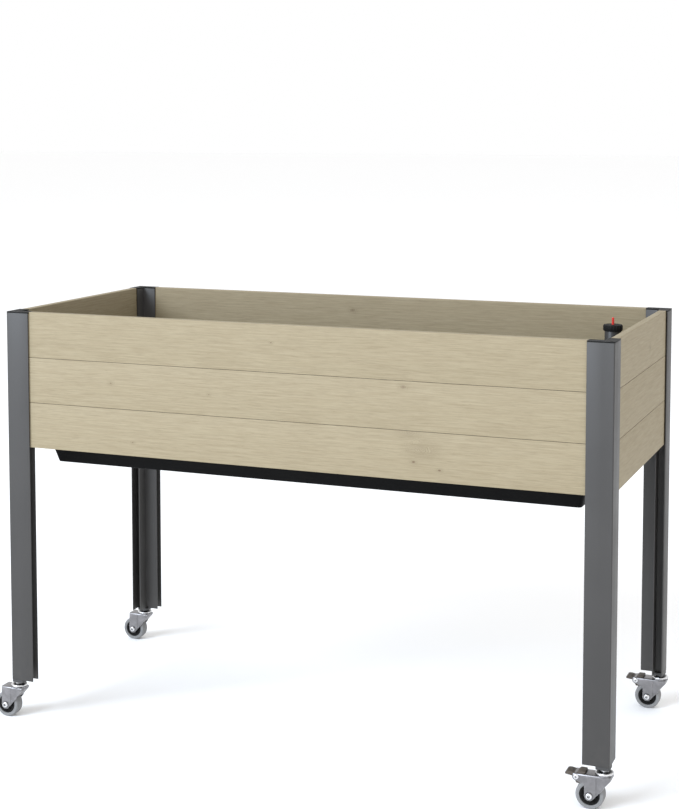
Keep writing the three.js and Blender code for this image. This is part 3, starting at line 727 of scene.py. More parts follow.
class Effects:
    """The shader groups that several finishes share."""

    def __init__(self) -> None:
        """Build every group once."""
        self.edge_wear_and_highlight = self._edge_wear_and_highlight()
        self.speckle = self._speckle()
        self.drawn_lines = self._drawn_lines()
        self.dust = self._dust()
        self.growth = self._growth()
        self.knot = self._knot()

    @staticmethod
    def _edge_wear_and_highlight() -> bpy.types.NodeTree:
        """The edges, where the surface normal leaves the rounded one: rubbed wear on most finishes, a painted highlight
        on zinc.
        """
        wiring, takes, gives = start_group(
            "edge_wear_and_highlight", {"Vector": "Vector", "Width": "Float", "Breakup": "Float"}, {"Mask": "Float"}
        )
        rounded = wiring.node("ShaderNodeBevel", samples=4)
        wiring.feed(rounded.inputs["Radius"], takes["Width"])
        flat = wiring.node("ShaderNodeNewGeometry")
        facing = wiring.vector("DOT_PRODUCT", rounded.outputs[0], flat.outputs["Normal"])
        edge = wiring.remap(facing.outputs["Value"], 0.995, 0.8)
        chips = wiring.noise(takes["Vector"], 260.0, 4.0, 0.65)
        torn = wiring.remap(chips, wiring.math("MULTIPLY", takes["Breakup"], 0.45), 0.62)
        wiring.feed(gives["Mask"], wiring.math("MULTIPLY", edge, torn))
        return wiring.tree

    @staticmethod
    def _speckle() -> bpy.types.NodeTree:
        """Fine grain and slow mottling of a moulded or coated surface."""
        wiring, takes, gives = start_group(
            "speckle", {"Vector": "Vector", "Size": "Float"}, {"Grain": "Float", "Mottle": "Float"}
        )
        scale = wiring.math("DIVIDE", 1.0, takes["Size"])
        fine = wiring.noise(takes["Vector"], scale, 2.0, 0.6)
        slow = wiring.noise(takes["Vector"], 9.0, 4.0, 0.55)
        wiring.feed(gives["Grain"], fine)
        wiring.feed(gives["Mottle"], wiring.remap(slow, 0.3, 0.7))
        return wiring.tree

    @staticmethod
    def _drawn_lines() -> bpy.types.NodeTree:
        """Die lines that run along an extrusion or a drawn bar."""
        wiring, takes, gives = start_group(
            "drawn_lines", {"Vector": "Vector", "Stretch": "Vector"}, {"Lines": "Float"}
        )
        squeezed = wiring.vector("MULTIPLY", takes["Vector"], takes["Stretch"]).outputs[0]
        wiring.feed(gives["Lines"], wiring.noise(squeezed, 1.0, 5.0, 0.7))
        return wiring.tree

    @staticmethod
    def _dust() -> bpy.types.NodeTree:
        """Dust that settles on what faces up, thicker near the floor."""
        wiring, takes, gives = start_group(
            "dust", {"Vector": "Vector", "Height": "Float"}, {"Mask": "Float"}
        )
        flat = wiring.node("ShaderNodeNewGeometry")
        parts = wiring.node("ShaderNodeSeparateXYZ")
        wiring.feed(parts.inputs[0], flat.outputs["Normal"])
        level = wiring.remap(parts.outputs[2], 0.2, 0.95)
        place = wiring.node("ShaderNodeSeparateXYZ")
        wiring.feed(place.inputs[0], takes["Vector"])
        low = wiring.remap(place.outputs[2], takes["Height"], 0.0)
        patches = wiring.remap(wiring.noise(takes["Vector"], 60.0, 5.0, 0.6), 0.42, 0.7)
        settled = wiring.math("MAXIMUM", level, wiring.math("MULTIPLY", low, 0.6))
        wiring.feed(gives["Mask"], wiring.math("MULTIPLY", settled, patches))
        return wiring.tree

    @staticmethod
    def _growth() -> bpy.types.NodeTree:
        """Distance from the heart of the log, which wanders along the board, and the fibres along it."""
        wiring, takes, gives = start_group(
            "spruce_growth",
            {"Vector": "Vector", "Heart": "Vector", "Seed": "Float"},
            {"Across": "Float", "Fibres": "Float", "Streaks": "Float", "Resin": "Float"},
        )
        shift = wiring.node("ShaderNodeCombineXYZ")
        wiring.feed(shift.inputs[0], takes["Seed"])
        own = wiring.vector("ADD", takes["Vector"], shift.outputs[0]).outputs[0]
        slow = wiring.noise(wiring.stretch(own, (1.1, 5.0, 5.0)), 1.0, 2.0, 0.4)
        flat = wiring.vector("MULTIPLY", takes["Vector"], (0.0, 1.0, 1.0)).outputs[0]
        reach = wiring.vector("DISTANCE", flat, takes["Heart"]).outputs["Value"]
        wander = wiring.math("MULTIPLY", wiring.math("SUBTRACT", slow, 0.5), 0.022)
        wiring.feed(gives["Across"], wiring.math("ADD", reach, wander))
        wiring.feed(gives["Fibres"], wiring.noise(wiring.stretch(own, (38.0, 520.0, 520.0)), 1.0, 3.0, 0.66))
        wiring.feed(gives["Streaks"], wiring.noise(wiring.stretch(own, (13.0, 300.0, 400.0)), 1.0, 4.0, 0.7))
        flecks = wiring.noise(wiring.stretch(own, (60.0, 700.0, 700.0)), 1.0, 1.0, 0.4)
        wiring.feed(gives["Resin"], wiring.remap(flecks, 0.73, 0.82))
        return wiring.tree

    @staticmethod
    def _knot() -> bpy.types.NodeTree:
        """Bends the rings round a knot and gives its dark core."""
        wiring, takes, gives = start_group(
            "spruce_knot",
            {"Vector": "Vector", "Knot": "Vector", "Size": "Float", "Across": "Float"},
            {"Across": "Float", "Core": "Float", "Halo": "Float"},
        )
        away = wiring.vector("SUBTRACT", takes["Vector"], takes["Knot"]).outputs[0]
        rough = wiring.noise(takes["Vector"], 180.0, 2.0, 0.5)
        oval = wiring.vector("MULTIPLY", away, (0.55, 0.03, 1.0)).outputs[0]
        reach = wiring.vector("LENGTH", oval).outputs["Value"]
        uneven = wiring.math("MULTIPLY", wiring.math("SUBTRACT", rough, 0.5), wiring.math("MULTIPLY", takes["Size"], 0.5))
        reach = wiring.math("ADD", reach, uneven)
        bend = wiring.remap(reach, wiring.math("MULTIPLY", takes["Size"], 4.5), takes["Size"])
        lifted = wiring.math("SUBTRACT", reach, takes["Across"])
        wiring.feed(gives["Across"], wiring.math("MULTIPLY_ADD", lifted, bend, takes["Across"]))
        wiring.feed(gives["Core"], wiring.remap(reach, takes["Size"], wiring.math("MULTIPLY", takes["Size"], 0.45)))
        wiring.feed(gives["Halo"], wiring.remap(reach, wiring.math("MULTIPLY", takes["Size"], 3.0), takes["Size"]))
        return wiring.tree


def start_material(name: str) -> tuple[bpy.types.Material, Wiring, bpy.types.Node, Socket]:
    """Open a new material.

    Args:
        name: its name.

    Returns:
        The material, its wiring, its shader and its Object coordinates.
    """
    material = bpy.data.materials.new(name)
    material.use_nodes = True
    wiring = Wiring(material.node_tree)
    shader = next(n for n in material.node_tree.nodes if n.type == "BSDF_PRINCIPLED")
    place = wiring.node("ShaderNodeTexCoord").outputs["Object"]
    return material, wiring, shader, place


def grey(value: float, warmth: float = 0.0) -> Colour:
    """A grey, a little warm or cold."""
    return (value * (1 + warmth), value, value * (1 - warmth), 1.0)


def shaded(colour: Colour, share: float) -> Colour:
    """A colour made lighter or darker by a share of itself."""
    return (colour[0] * share, colour[1] * share, colour[2] * share, 1.0)


# ------------------------------------------------------------------ finishes
@dataclass(frozen=True)
class PowderCoat:
    """Satin powder coat on extruded aluminium, a little rubbed along its edges."""

    colour: Colour
    roughness: float = 0.42
    peel: float = 0.9 * MM
    wear_width: float = 0.9 * MM
    wear: float = 0.55

    def make(self, name: str, effects: Effects) -> bpy.types.Material:
        """Build the material.

        Args:
            name: its name.
            effects: the shared groups.

        Returns:
            The material.
        """
        material, wiring, shader, place = start_material(name)
        skin = wiring.group(effects.speckle, vector=place, size=self.peel)
        edge = wiring.group(effects.edge_wear_and_highlight, vector=place, width=self.wear_width, breakup=0.8)
        dust = wiring.group(effects.dust, vector=place, height=0.16)
        tone = wiring.blend(skin.outputs["Mottle"], shaded(self.colour, 0.95), shaded(self.colour, 1.05))
        tone = wiring.blend(wiring.math("MULTIPLY", skin.outputs["Grain"], 0.12), tone, shaded(self.colour, 1.6))
        rubbed = wiring.math("MULTIPLY", edge.outputs["Mask"], self.wear)
        tone = wiring.blend(rubbed, tone, shaded(self.colour, 1.9))
        tone = wiring.blend(wiring.math("MULTIPLY", dust.outputs["Mask"], 0.12), tone, (0.32, 0.29, 0.25, 1.0))
        wiring.feed(shader.inputs["Base Color"], tone)
        dull = wiring.math("MULTIPLY_ADD", skin.outputs["Mottle"], 0.08, self.roughness)
        dull = wiring.math("MULTIPLY_ADD", dust.outputs["Mask"], 0.25, dull)
        wiring.feed(shader.inputs["Roughness"], wiring.math("MULTIPLY_ADD", rubbed, -0.12, dull))
        wiring.feed(shader.inputs["Normal"], wiring.bump(skin.outputs["Grain"], 0.05 * MM, 0.7))
        shader.inputs["Specular IOR Level"].default_value = 0.4
        return material


@dataclass(frozen=True)
class MouldedPlastic:
    """Moulded plastic with a fine spark texture, scuffs and settled dust."""

    colour: Colour
    roughness: float = 0.45
    grain: float = 0.7 * MM
    depth: float = 0.05 * MM
    wear: float = 0.4
    dusty: float = 0.15
    gloss: float = 0.45
    scuff: Colour = (0.10, 0.10, 0.10, 1.0)

    def make(self, name: str, effects: Effects) -> bpy.types.Material:
        """Build the material.

        Args:
            name: its name.
            effects: the shared groups.

        Returns:
            The material.
        """
        material, wiring, shader, place = start_material(name)
        skin = wiring.group(effects.speckle, vector=place, size=self.grain)
        edge = wiring.group(effects.edge_wear_and_highlight, vector=place, width=0.6 * MM, breakup=0.7)
        dust = wiring.group(effects.dust, vector=place, height=0.08)
        flow = wiring.noise(wiring.stretch(place, (22.0, 22.0, 70.0)), 1.0, 4.0, 0.55)
        tone = wiring.blend(skin.outputs["Mottle"], shaded(self.colour, 0.9), shaded(self.colour, 1.12))
        tone = wiring.blend(wiring.math("MULTIPLY", flow, 0.18), tone, shaded(self.colour, 1.5))
        rubbed = wiring.math("MULTIPLY", edge.outputs["Mask"], self.wear)
        tone = wiring.blend(rubbed, tone, self.scuff)
        tone = wiring.blend(wiring.math("MULTIPLY", dust.outputs["Mask"], self.dusty), tone, (0.30, 0.27, 0.22, 1.0))
        wiring.feed(shader.inputs["Base Color"], tone)
        dull = wiring.math("MULTIPLY_ADD", flow, 0.14, self.roughness - 0.07)
        wiring.feed(shader.inputs["Roughness"], wiring.math("MULTIPLY_ADD", dust.outputs["Mask"], 0.2, dull))
        wiring.feed(shader.inputs["Normal"], wiring.bump(skin.outputs["Grain"], self.depth, 0.8))
        shader.inputs["Specular IOR Level"].default_value = self.gloss
        return material


@dataclass(frozen=True)
class ZincPlate:
    """Zinc plate on pressed steel: soft spangles, fine press lines, painted highlights along its edges and painted
    shade in its crevices.
    """

    colour: Colour = (0.262, 0.256, 0.262, 1.0)
    roughness: float = 0.3
    # Share of the painted highlight along the edges.
    edge: float = 0.9
    # How far the painted shade in the crevices reaches.
    crevice: float = 3.0 * MM

    def make(self, name: str, effects: Effects) -> bpy.types.Material:
        """Build the material.

        Args:
            name: its name.
            effects: the shared groups.

        Returns:
            The material.
        """
        material, wiring, shader, place = start_material(name)
        lines = wiring.group(effects.drawn_lines, vector=place, stretch=(2600.0, 2600.0, 240.0))
        edge = wiring.group(effects.edge_wear_and_highlight, vector=place, width=0.8 * MM, breakup=0.3)
        cells = wiring.node("ShaderNodeTexVoronoi", feature="F1")
        wiring.feed(cells.inputs["Vector"], place)
        wiring.feed(cells.inputs["Scale"], 420.0)
        spangle = wiring.node("ShaderNodeSeparateColor")
        wiring.feed(spangle.inputs[0], cells.outputs["Color"])
        cloud = wiring.remap(wiring.noise(place, 75.0, 4.0, 0.6), 0.35, 0.68)
        tone = wiring.blend(cloud, shaded(self.colour, 0.88), shaded(self.colour, 1.12))
        tone = wiring.blend(wiring.math("MULTIPLY", spangle.outputs[0], 0.2), tone, shaded(self.colour, 0.6))
        # Painted shade: the crevices, found by ambient occlusion, are painted near black, standing in for the shade
        # that falls in them.
        hollow = wiring.node("ShaderNodeAmbientOcclusion", samples=6)
        hollow.inputs["Distance"].default_value = self.crevice
        shade = wiring.remap(hollow.outputs["AO"], 0.97, 0.5)
        tone = wiring.blend(wiring.math("MULTIPLY", shade, 0.9), tone, grey(0.02))
        # Painted highlight: the rounded edges are painted near white, standing in for the glints that they catch.
        tone = wiring.blend(wiring.math("MULTIPLY", edge.outputs["Mask"], self.edge), tone, (0.9, 0.9, 0.91, 1.0))
        wiring.feed(shader.inputs["Base Color"], tone)
        dull = wiring.math("MULTIPLY_ADD", spangle.outputs[0], 0.08, self.roughness)
        wiring.feed(shader.inputs["Roughness"], wiring.math("MULTIPLY_ADD", cloud, 0.07, dull))
        wiring.feed(shader.inputs["Normal"], wiring.bump(lines.outputs["Lines"], 0.02 * MM, 0.5))
        shader.inputs["Metallic"].default_value = 1.0
        return material


@dataclass(frozen=True)
class MillAluminium:
    """Bare extruded aluminium with its die lines."""

    stretch: tuple[float, float, float]
    colour: Colour = (0.62, 0.63, 0.64, 1.0)

    def make(self, name: str, effects: Effects) -> bpy.types.Material:
        """Build the material.

        Args:
            name: its name.
            effects: the shared groups.

        Returns:
            The material.
        """
        material, wiring, shader, place = start_material(name)
        lines = wiring.group(effects.drawn_lines, vector=place, stretch=self.stretch)
        edge = wiring.group(effects.edge_wear_and_highlight, vector=place, width=0.5 * MM, breakup=0.6)
        stain = wiring.remap(wiring.noise(place, 26.0, 5.0, 0.6), 0.45, 0.72)
        tone = wiring.blend(wiring.math("MULTIPLY", lines.outputs["Lines"], 0.35), self.colour, grey(0.42))
        tone = wiring.blend(wiring.math("MULTIPLY", stain, 0.3), tone, (0.45, 0.43, 0.39, 1.0))
        tone = wiring.blend(wiring.math("MULTIPLY", edge.outputs["Mask"], 0.5), tone, grey(0.8))
        wiring.feed(shader.inputs["Base Color"], tone)
        dull = wiring.math("MULTIPLY_ADD", stain, 0.18, 0.32)
        wiring.feed(shader.inputs["Roughness"], wiring.math("MULTIPLY_ADD", lines.outputs["Lines"], 0.1, dull))
        wiring.feed(shader.inputs["Normal"], wiring.bump(lines.outputs["Lines"], 0.03 * MM, 0.6))
        shader.inputs["Metallic"].default_value = 1.0
        return material


@dataclass(frozen=True)
class Knot:
    """A knot in a board: its share of the way along and up the board, its radius and how dark it is."""

    along: float
    up: float
    size: float
    dark: float = 0.75


@dataclass(frozen=True)
class PlanedSpruce:
    """Planed spruce: faint rings round a wandering heart, long fibres, a few small knots and painted shade in the
    joints.
    """

    early: Colour = (0.306, 0.256, 0.163, 1.0)
    late: Colour = (0.238, 0.190, 0.112, 1.0)
    knot: Colour = (0.120, 0.075, 0.040, 1.0)
    ring_spacing: float = 2.2 * MM
    roughness: float = 0.6
    rings: float = 0.06
    knot_rings: float = 0.85
    # How far the painted shade in the joints reaches.
    joint_reach: float = 2.5 * MM

    def make(
        self, name: str, effects: Effects, wall: Wall, middle: Vector, size: Vector, knots: Sequence[Knot], seed: int
    ) -> bpy.types.Material:
        """Build the material of one board.

        Args:
            name: its name.
            effects: the shared groups.
            wall: the wall that the board is in.
            middle: the board's middle.
            size: the board's length along each axis.
            knots: its knots.
            seed: what makes its grain its own.

        Returns:
            The material.
        """
        material, wiring, shader, place = start_material(name)
        centred = wiring.vector("SUBTRACT", place, middle).outputs[0]
        turn = wiring.node("ShaderNodeMapping")
        wiring.feed(turn.inputs["Vector"], centred)
        turn.inputs["Rotation"].default_value = (0.0, 0.0, 0.0 if wall.along == 0 else -math.pi / 2)
        board = turn.outputs[0]
        chance = random.Random(seed)
        heart = (0.0, chance.choice((-1, 1)) * chance.uniform(0.05, 0.09), chance.uniform(-0.03, 0.03))
        growth = wiring.group(effects.growth, vector=board, heart=heart, seed=seed * 3.7)
        across = growth.outputs["Across"]
        core: object = 0.0
        halo: object = 0.0
        for spot in knots:
            at = ((spot.along - 0.5) * size[wall.along], 0.0, (spot.up - 0.5) * size.z)
            bent = wiring.group(effects.knot, vector=board, knot=at, size=spot.size, across=across)
            across = bent.outputs["Across"]
            core = wiring.math("MAXIMUM", core, wiring.math("MULTIPLY", bent.outputs["Core"], spot.dark))
            halo = wiring.math("MAXIMUM", halo, bent.outputs["Halo"])
        phase = wiring.math("MULTIPLY", across, TURN / self.ring_spacing)
        ring = wiring.remap(wiring.math("SINE", phase), -0.2, 1.0)
        edge = wiring.group(effects.edge_wear_and_highlight, vector=place, width=1.2 * MM, breakup=0.4)
        tone = wiring.blend(wiring.remap(growth.outputs["Streaks"], 0.32, 0.68, 0.0, 0.7), self.early, self.late)
        faint = wiring.math("MULTIPLY", wiring.math("MULTIPLY_ADD", halo, self.knot_rings, self.rings), ring)
        tone = wiring.blend(faint, tone, shaded(self.late, 0.78))
        tone = wiring.blend(wiring.remap(growth.outputs["Fibres"], 0.42, 0.76, 0.0, 0.5), tone, shaded(self.late, 0.84))
        tone = wiring.blend(wiring.math("MULTIPLY", growth.outputs["Resin"], 0.4), tone, self.knot)
        tone = wiring.blend(wiring.math("MULTIPLY", halo, 0.12), tone, self.late)
        tone = wiring.blend(core, tone, self.knot)
        tone = wiring.blend(wiring.math("MULTIPLY", edge.outputs["Mask"], 0.35), tone, shaded(self.early, 1.25))
        # Painted shade: the joints between boards, found by ambient occlusion, are painted dark, standing in for the
        # shade that falls in them.
        joint = wiring.node("ShaderNodeAmbientOcclusion", samples=6)
        joint.inputs["Distance"].default_value = self.joint_reach
        painted_joint_shade = wiring.remap(joint.outputs["AO"], 0.85, 0.45)
        tone = wiring.blend(wiring.math("MULTIPLY", painted_joint_shade, 0.75), tone, shaded(self.knot, 0.5))
        wiring.feed(shader.inputs["Base Color"], tone)
        dull = wiring.math("MULTIPLY_ADD", growth.outputs["Streaks"], 0.12, self.roughness)
        wiring.feed(shader.inputs["Roughness"], wiring.math("MULTIPLY_ADD", core, -0.15, dull))
        relief = wiring.math("MULTIPLY_ADD", growth.outputs["Fibres"], 0.6, wiring.math("MULTIPLY", ring, 0.4))
        wiring.feed(shader.inputs["Normal"], wiring.bump(relief, 0.12 * MM, 0.6))
        return material


@dataclass(frozen=True)
class Rubber:
    """Moulded rubber, dull and a little scuffed where it runs."""

    colour: Colour
    roughness: float = 0.72

    def make(self, name: str, effects: Effects) -> bpy.types.Material:
        """Build the material.

        Args:
            name: its name.
            effects: the shared groups.

        Returns:
            The material.
        """
        material, wiring, shader, place = start_material(name)
        skin = wiring.group(effects.speckle, vector=place, size=0.5 * MM)
        edge = wiring.group(effects.edge_wear_and_highlight, vector=place, width=0.8 * MM, breakup=0.8)
        scuffs = wiring.remap(wiring.noise(place, 210.0, 5.0, 0.7), 0.48, 0.7)
        tone = wiring.blend(skin.outputs["Mottle"], shaded(self.colour, 0.92), shaded(self.colour, 1.08))
        tone = wiring.blend(wiring.math("MULTIPLY", scuffs, 0.3), tone, shaded(self.colour, 0.55))
        tone = wiring.blend(wiring.math("MULTIPLY", edge.outputs["Mask"], 0.3), tone, shaded(self.colour, 0.5))
        wiring.feed(shader.inputs["Base Color"], tone)
        wiring.feed(shader.inputs["Roughness"], wiring.math("MULTIPLY_ADD", scuffs, 0.14, self.roughness))
        wiring.feed(shader.inputs["Normal"], wiring.bump(skin.outputs["Grain"], 0.06 * MM, 0.8))
        return material


class Finishes:
    """The planter's finishes that aren't wood, one or two materials for each material slot."""

    def __init__(self, effects: Effects) -> None:
        """Build the materials.

        Args:
            effects: the shared groups.
        """
        self.effects = effects
        self.coat = PowderCoat(grey(0.040, 0.045)).make("powder_coat", effects)
        self.black = MouldedPlastic(grey(0.010), roughness=0.55, dusty=0.08, gloss=0.12).make("black_plastic", effects)
        self.tray = MouldedPlastic(
            grey(0.0045), roughness=0.5, grain=1.1 * MM, dusty=0.01, wear=0.06, gloss=0.05
        ).make("tray_plastic", effects)
        self.dark = MouldedPlastic(grey(0.042), roughness=0.55).make("dark_plastic", effects)
        self.hub = MouldedPlastic(grey(0.004), roughness=0.24, dusty=0.03, wear=0.3, gloss=0.16).make("hub_plastic", effects)
        self.pedal = MouldedPlastic((0.068, 0.056, 0.045, 1.0), roughness=0.5, dusty=0.1, gloss=0.3).make("pedal_plastic", effects)
        self.tube = MouldedPlastic(grey(0.026), roughness=0.38).make("tube_plastic", effects)
        self.float = MouldedPlastic((0.56, 0.030, 0.022, 1.0), roughness=0.4, wear=0.1).make("float_plastic", effects)
        # Two copies of one zinc plate: painted dark on the forks and screws, and painted bright on the stems, axles and
        # pins, standing in for their dark and bright reflections.
        self.zinc = ZincPlate().make("zinc_plate", effects)
        self.bright = ZincPlate((0.80, 0.80, 0.81, 1.0), 0.2, 0.95, 6.0 * MM).make("zinc_plate_painted_bright", effects)
        self.rubber = Rubber(grey(0.215)).make("grey_rubber", effects)
        self.rail_x = MillAluminium((30.0, 1500.0, 1500.0)).make("mill_aluminium_x", effects)
        self.rail_y = MillAluminium((1500.0, 30.0, 1500.0)).make("mill_aluminium_y", effects)


# ------------------------------------------------------------------ corner posts
@dataclass
class CornerPost:
    """An extruded corner post with its cap and the castor's socket in its foot."""

    corner: Corner
    finishes: Finishes
    wall: float = 2.0 * MM
    tube: float = 20.4 * MM
    outside_radius: float = 2.0 * MM
    seat: float = 0.3 * MM
    spigot: float = 14.0 * MM
    low: Vector = field(init=False)
    high: Vector = field(init=False)

    def __post_init__(self) -> None:
        """Take the post's place from the frame."""
        self.low, self.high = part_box(f"leg_{self.corner.label}")

    @property
    def outside(self) -> Vector:
        """The post's outside corner in plan."""
        x = self.high.x if self.corner.side_x > 0 else self.low.x
        y = self.high.y if self.corner.side_y > 0 else self.low.y
        return Vector((x, y, 0))

    def inwards(self, point: Vector) -> tuple[float, float]:
        """How far a point is from the outside faces, along X and Y."""
        gap = self.outside - point
        return gap.x * self.corner.side_x, gap.y * self.corner.side_y

    def lines(self, axis: int, *distances: float) -> list[float]:
        """Places along an axis at distances in from the outside face.

        Args:
            axis: 0 for X, 1 for Y.
            distances: from the outside face.

        Returns:
            The places.
        """
        side = self.corner.side_x if axis == 0 else self.corner.side_y
        return [self.outside[axis] - side * distance for distance in distances]

    def on_corner(self, a: Vector, b: Vector) -> bool:
        """Whether an edge is the upright one at the outside corner."""
        u, v = self.inwards(a)
        upright = abs(a.x - b.x) < 1e-6 and abs(a.y - b.y) < 1e-6
        return upright and abs(u) < 1e-6 and abs(v) < 1e-6

    def post(self) -> Thing:
        """Build the extrusion.

        Returns:
            The post.
        """
        marks = (self.wall, self.tube - self.wall, self.tube)
        piece = Piece(f"post_{self.corner.label}").sheet(self.low, self.high)
        piece.slice(0, *self.lines(0, *marks)).slice(1, *self.lines(1, *marks))

        def hollow(middle: Vector, _normal: Vector) -> bool:
            u, v = self.inwards(middle)
            skin_u = u < self.wall or self.tube - self.wall < u < self.tube
            skin_v = v < self.wall or self.tube - self.wall < v < self.tube
            beyond = (u > self.tube and v > self.tube)
            return beyond or not (skin_u or skin_v) or (u > self.tube and not skin_v) or (v > self.tube and not skin_u)

        piece.faces(hollow).remove().every().extrude((0, 0, self.high.z - self.low.z)).seal()
        piece.edges(self.on_corner).bevel(self.outside_radius, 4)
        thing = piece.soften(0.35 * MM, 2).done(50)
        return dress(thing, self.finishes.coat, "frame", "coated_aluminium", f"leg_{self.corner.label}")

    def cap(self) -> Thing:
        """Build the moulded cap: an L-shaped plate with a sunk panel and a spigot.

        Returns:
            The cap.
        """
        node = f"leg_cap_{self.corner.label}"
        _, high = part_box(node)
        plate = high.z - self.high.z - self.seat
        low = Vector((self.low.x, self.low.y, high.z - plate))
        piece = Piece(f"cap_{self.corner.label}").sheet(low, high)
        piece.slice(0, *self.lines(0, self.tube)).slice(1, *self.lines(1, self.tube))
        piece.faces(lambda m, _: min(self.inwards(m)) > self.tube).remove()
        piece.every().extrude((0, 0, plate)).seal()
        piece.edges(self.on_corner).bevel(self.outside_radius, 4)
        piece.faces(lambda m, n: n.z > 0.9).inset(2.2 * MM, 0.0).inset(0.35 * MM, -0.3 * MM)
        piece.faces(lambda m, n: n.z < -0.9 and max(self.inwards(m)) < self.tube)
        piece.inset(self.wall + self.seat).extrude((0, 0, -self.spigot))
        thing = piece.soften(0.4 * MM, 2).done(50)
        return dress(thing, self.finishes.black, "frame", "black_plastic", node)

    def socket(self) -> Thing:
        """Build the castor's socket: a square flange with rounded corners, and the insert in the tube.

        Returns:
            The socket.
        """
        node = f"castor_socket_{self.corner.label}"
        low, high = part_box(node)
        top = self.low.z - self.seat
        piece = Piece(f"socket_{self.corner.label}").sheet(low, high)
        piece.slice(0, *self.lines(0, self.tube)).slice(1, *self.lines(1, self.tube))
        piece.every().extrude((0, 0, top - low.z)).seal()
        reach = high - low

        def rim(a: Vector, b: Vector) -> bool:
            upright = abs(a.z - b.z) > 1e-4
            on_x = min(abs(a.x - low.x), abs(a.x - high.x)) < 1e-6
            on_y = min(abs(a.y - low.y), abs(a.y - high.y)) < 1e-6
            return upright and on_x and on_y

        piece.edges(rim).bevel(min(reach.x, reach.y) * 0.09, 3)
        piece.faces(lambda m, n: n.z > 0.9 and max(self.inwards(m)) < self.tube)
        piece.inset(self.wall + self.seat).extrude((0, 0, high.z - top))
        thing = piece.soften(0.5 * MM, 2).done(50)
        return dress(thing, self.finishes.dark, "frame", "dark_plastic", node)

    def build(self) -> None:
        """Build the post, its cap and its socket."""
        self.post()
        self.cap()
        self.socket()


# ------------------------------------------------------------------ board walls
@dataclass
class BoardWall:
    """Three tongue-and-groove boards, each with its own grain."""

    wall: Wall
    finishes: Finishes
    knots: dict[Row, Sequence[Knot]]
    tongue_thick: float = 4.6 * MM
    tongue_height: float = 6.0 * MM
    groove_play: float = 0.4 * MM
    eased: float = 0.8 * MM
    let_in: float = 2.8 * MM
    flange: float = 48.3 * MM
    spruce: PlanedSpruce = PlanedSpruce()

    def board(self, row: Row) -> Thing:
        """Build one board.

        Args:
            row: which board of the wall.

        Returns:
            The board.
        """
        node = f"board_{self.wall.label}_{row.value}"
        low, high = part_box(node)
        tongued, grooved = row is not Row.TOP, row is not Row.BOTTOM
        shoulder = high.z - (self.tongue_height if tongued else 0.0)
        along, through = self.wall.along, self.wall.through
        piece = Piece(f"plank_{self.wall.label}_{row.value}").block(low, (high.x, high.y, shoulder))
        piece.edges(lambda a, b: abs(a[along] - b[along]) > 0.1).bevel(self.eased, 3)
        middle = (low[through] + high[through]) / 2
        half = self.tongue_thick / 2
        wide = half + self.groove_play
        piece.slice(through, middle - half, middle + half, middle - wide, middle + wide)
        if tongued:
            piece.faces(lambda m, n: n.z > 0.9 and abs(m[through] - middle) < half)
            piece.extrude((0, 0, self.tongue_height))
        if grooved:
            piece.faces(lambda m, n: n.z < -0.9 and abs(m[through] - middle) < wide)
            piece.extrude((0, 0, self.tongue_height + self.groove_play))
        if row is Row.TOP:
            self._let_in(piece, low, high)
        thing = piece.soften(0.25 * MM, 1, 60).done(40)
        number = list(Wall).index(self.wall) * len(Row) + list(Row).index(row) + 1
        body = Vector((high.x, high.y, shoulder))
        wood = self.spruce.make(
            f"spruce_{self.wall.label}_{row.value}",
            self.finishes.effects,
            self.wall,
            (low + body) / 2,
            body - low,
            self.knots.get(row, ()),
            number,
        )
        return dress(thing, wood, "frame", "spruce", node)

    def _let_in(self, piece: Piece, low: Vector, high: Vector) -> None:
        """Cut the top board's two ends down so that the post caps lie over them.

        Args:
            piece: the board on the bench.
            low: its lowest corner.
            high: its highest corner.
        """
        along, through = self.wall.along, self.wall.through
        posts = [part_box(f"leg_{corner.label}") for corner in Corner]
        first = min(box[0][along] for box in posts) + self.flange
        last = max(box[1][along] for box in posts) - self.flange
        for start, end in ((low[along] - 1 * MM, first), (last, high[along] + 1 * MM)):
            near, far = low.copy(), high.copy()
            near[along], far[along] = start, end
            near[through] -= 1 * MM
            far[through] += 1 * MM
            near.z, far.z = high.z - self.let_in, high.z + 1 * MM
            piece.combine(Piece("cutter").block(near, far).done(), "DIFFERENCE")

    def build(self) -> None:
        """Build the wall's three boards."""
        for row in Row:
            self.board(row)


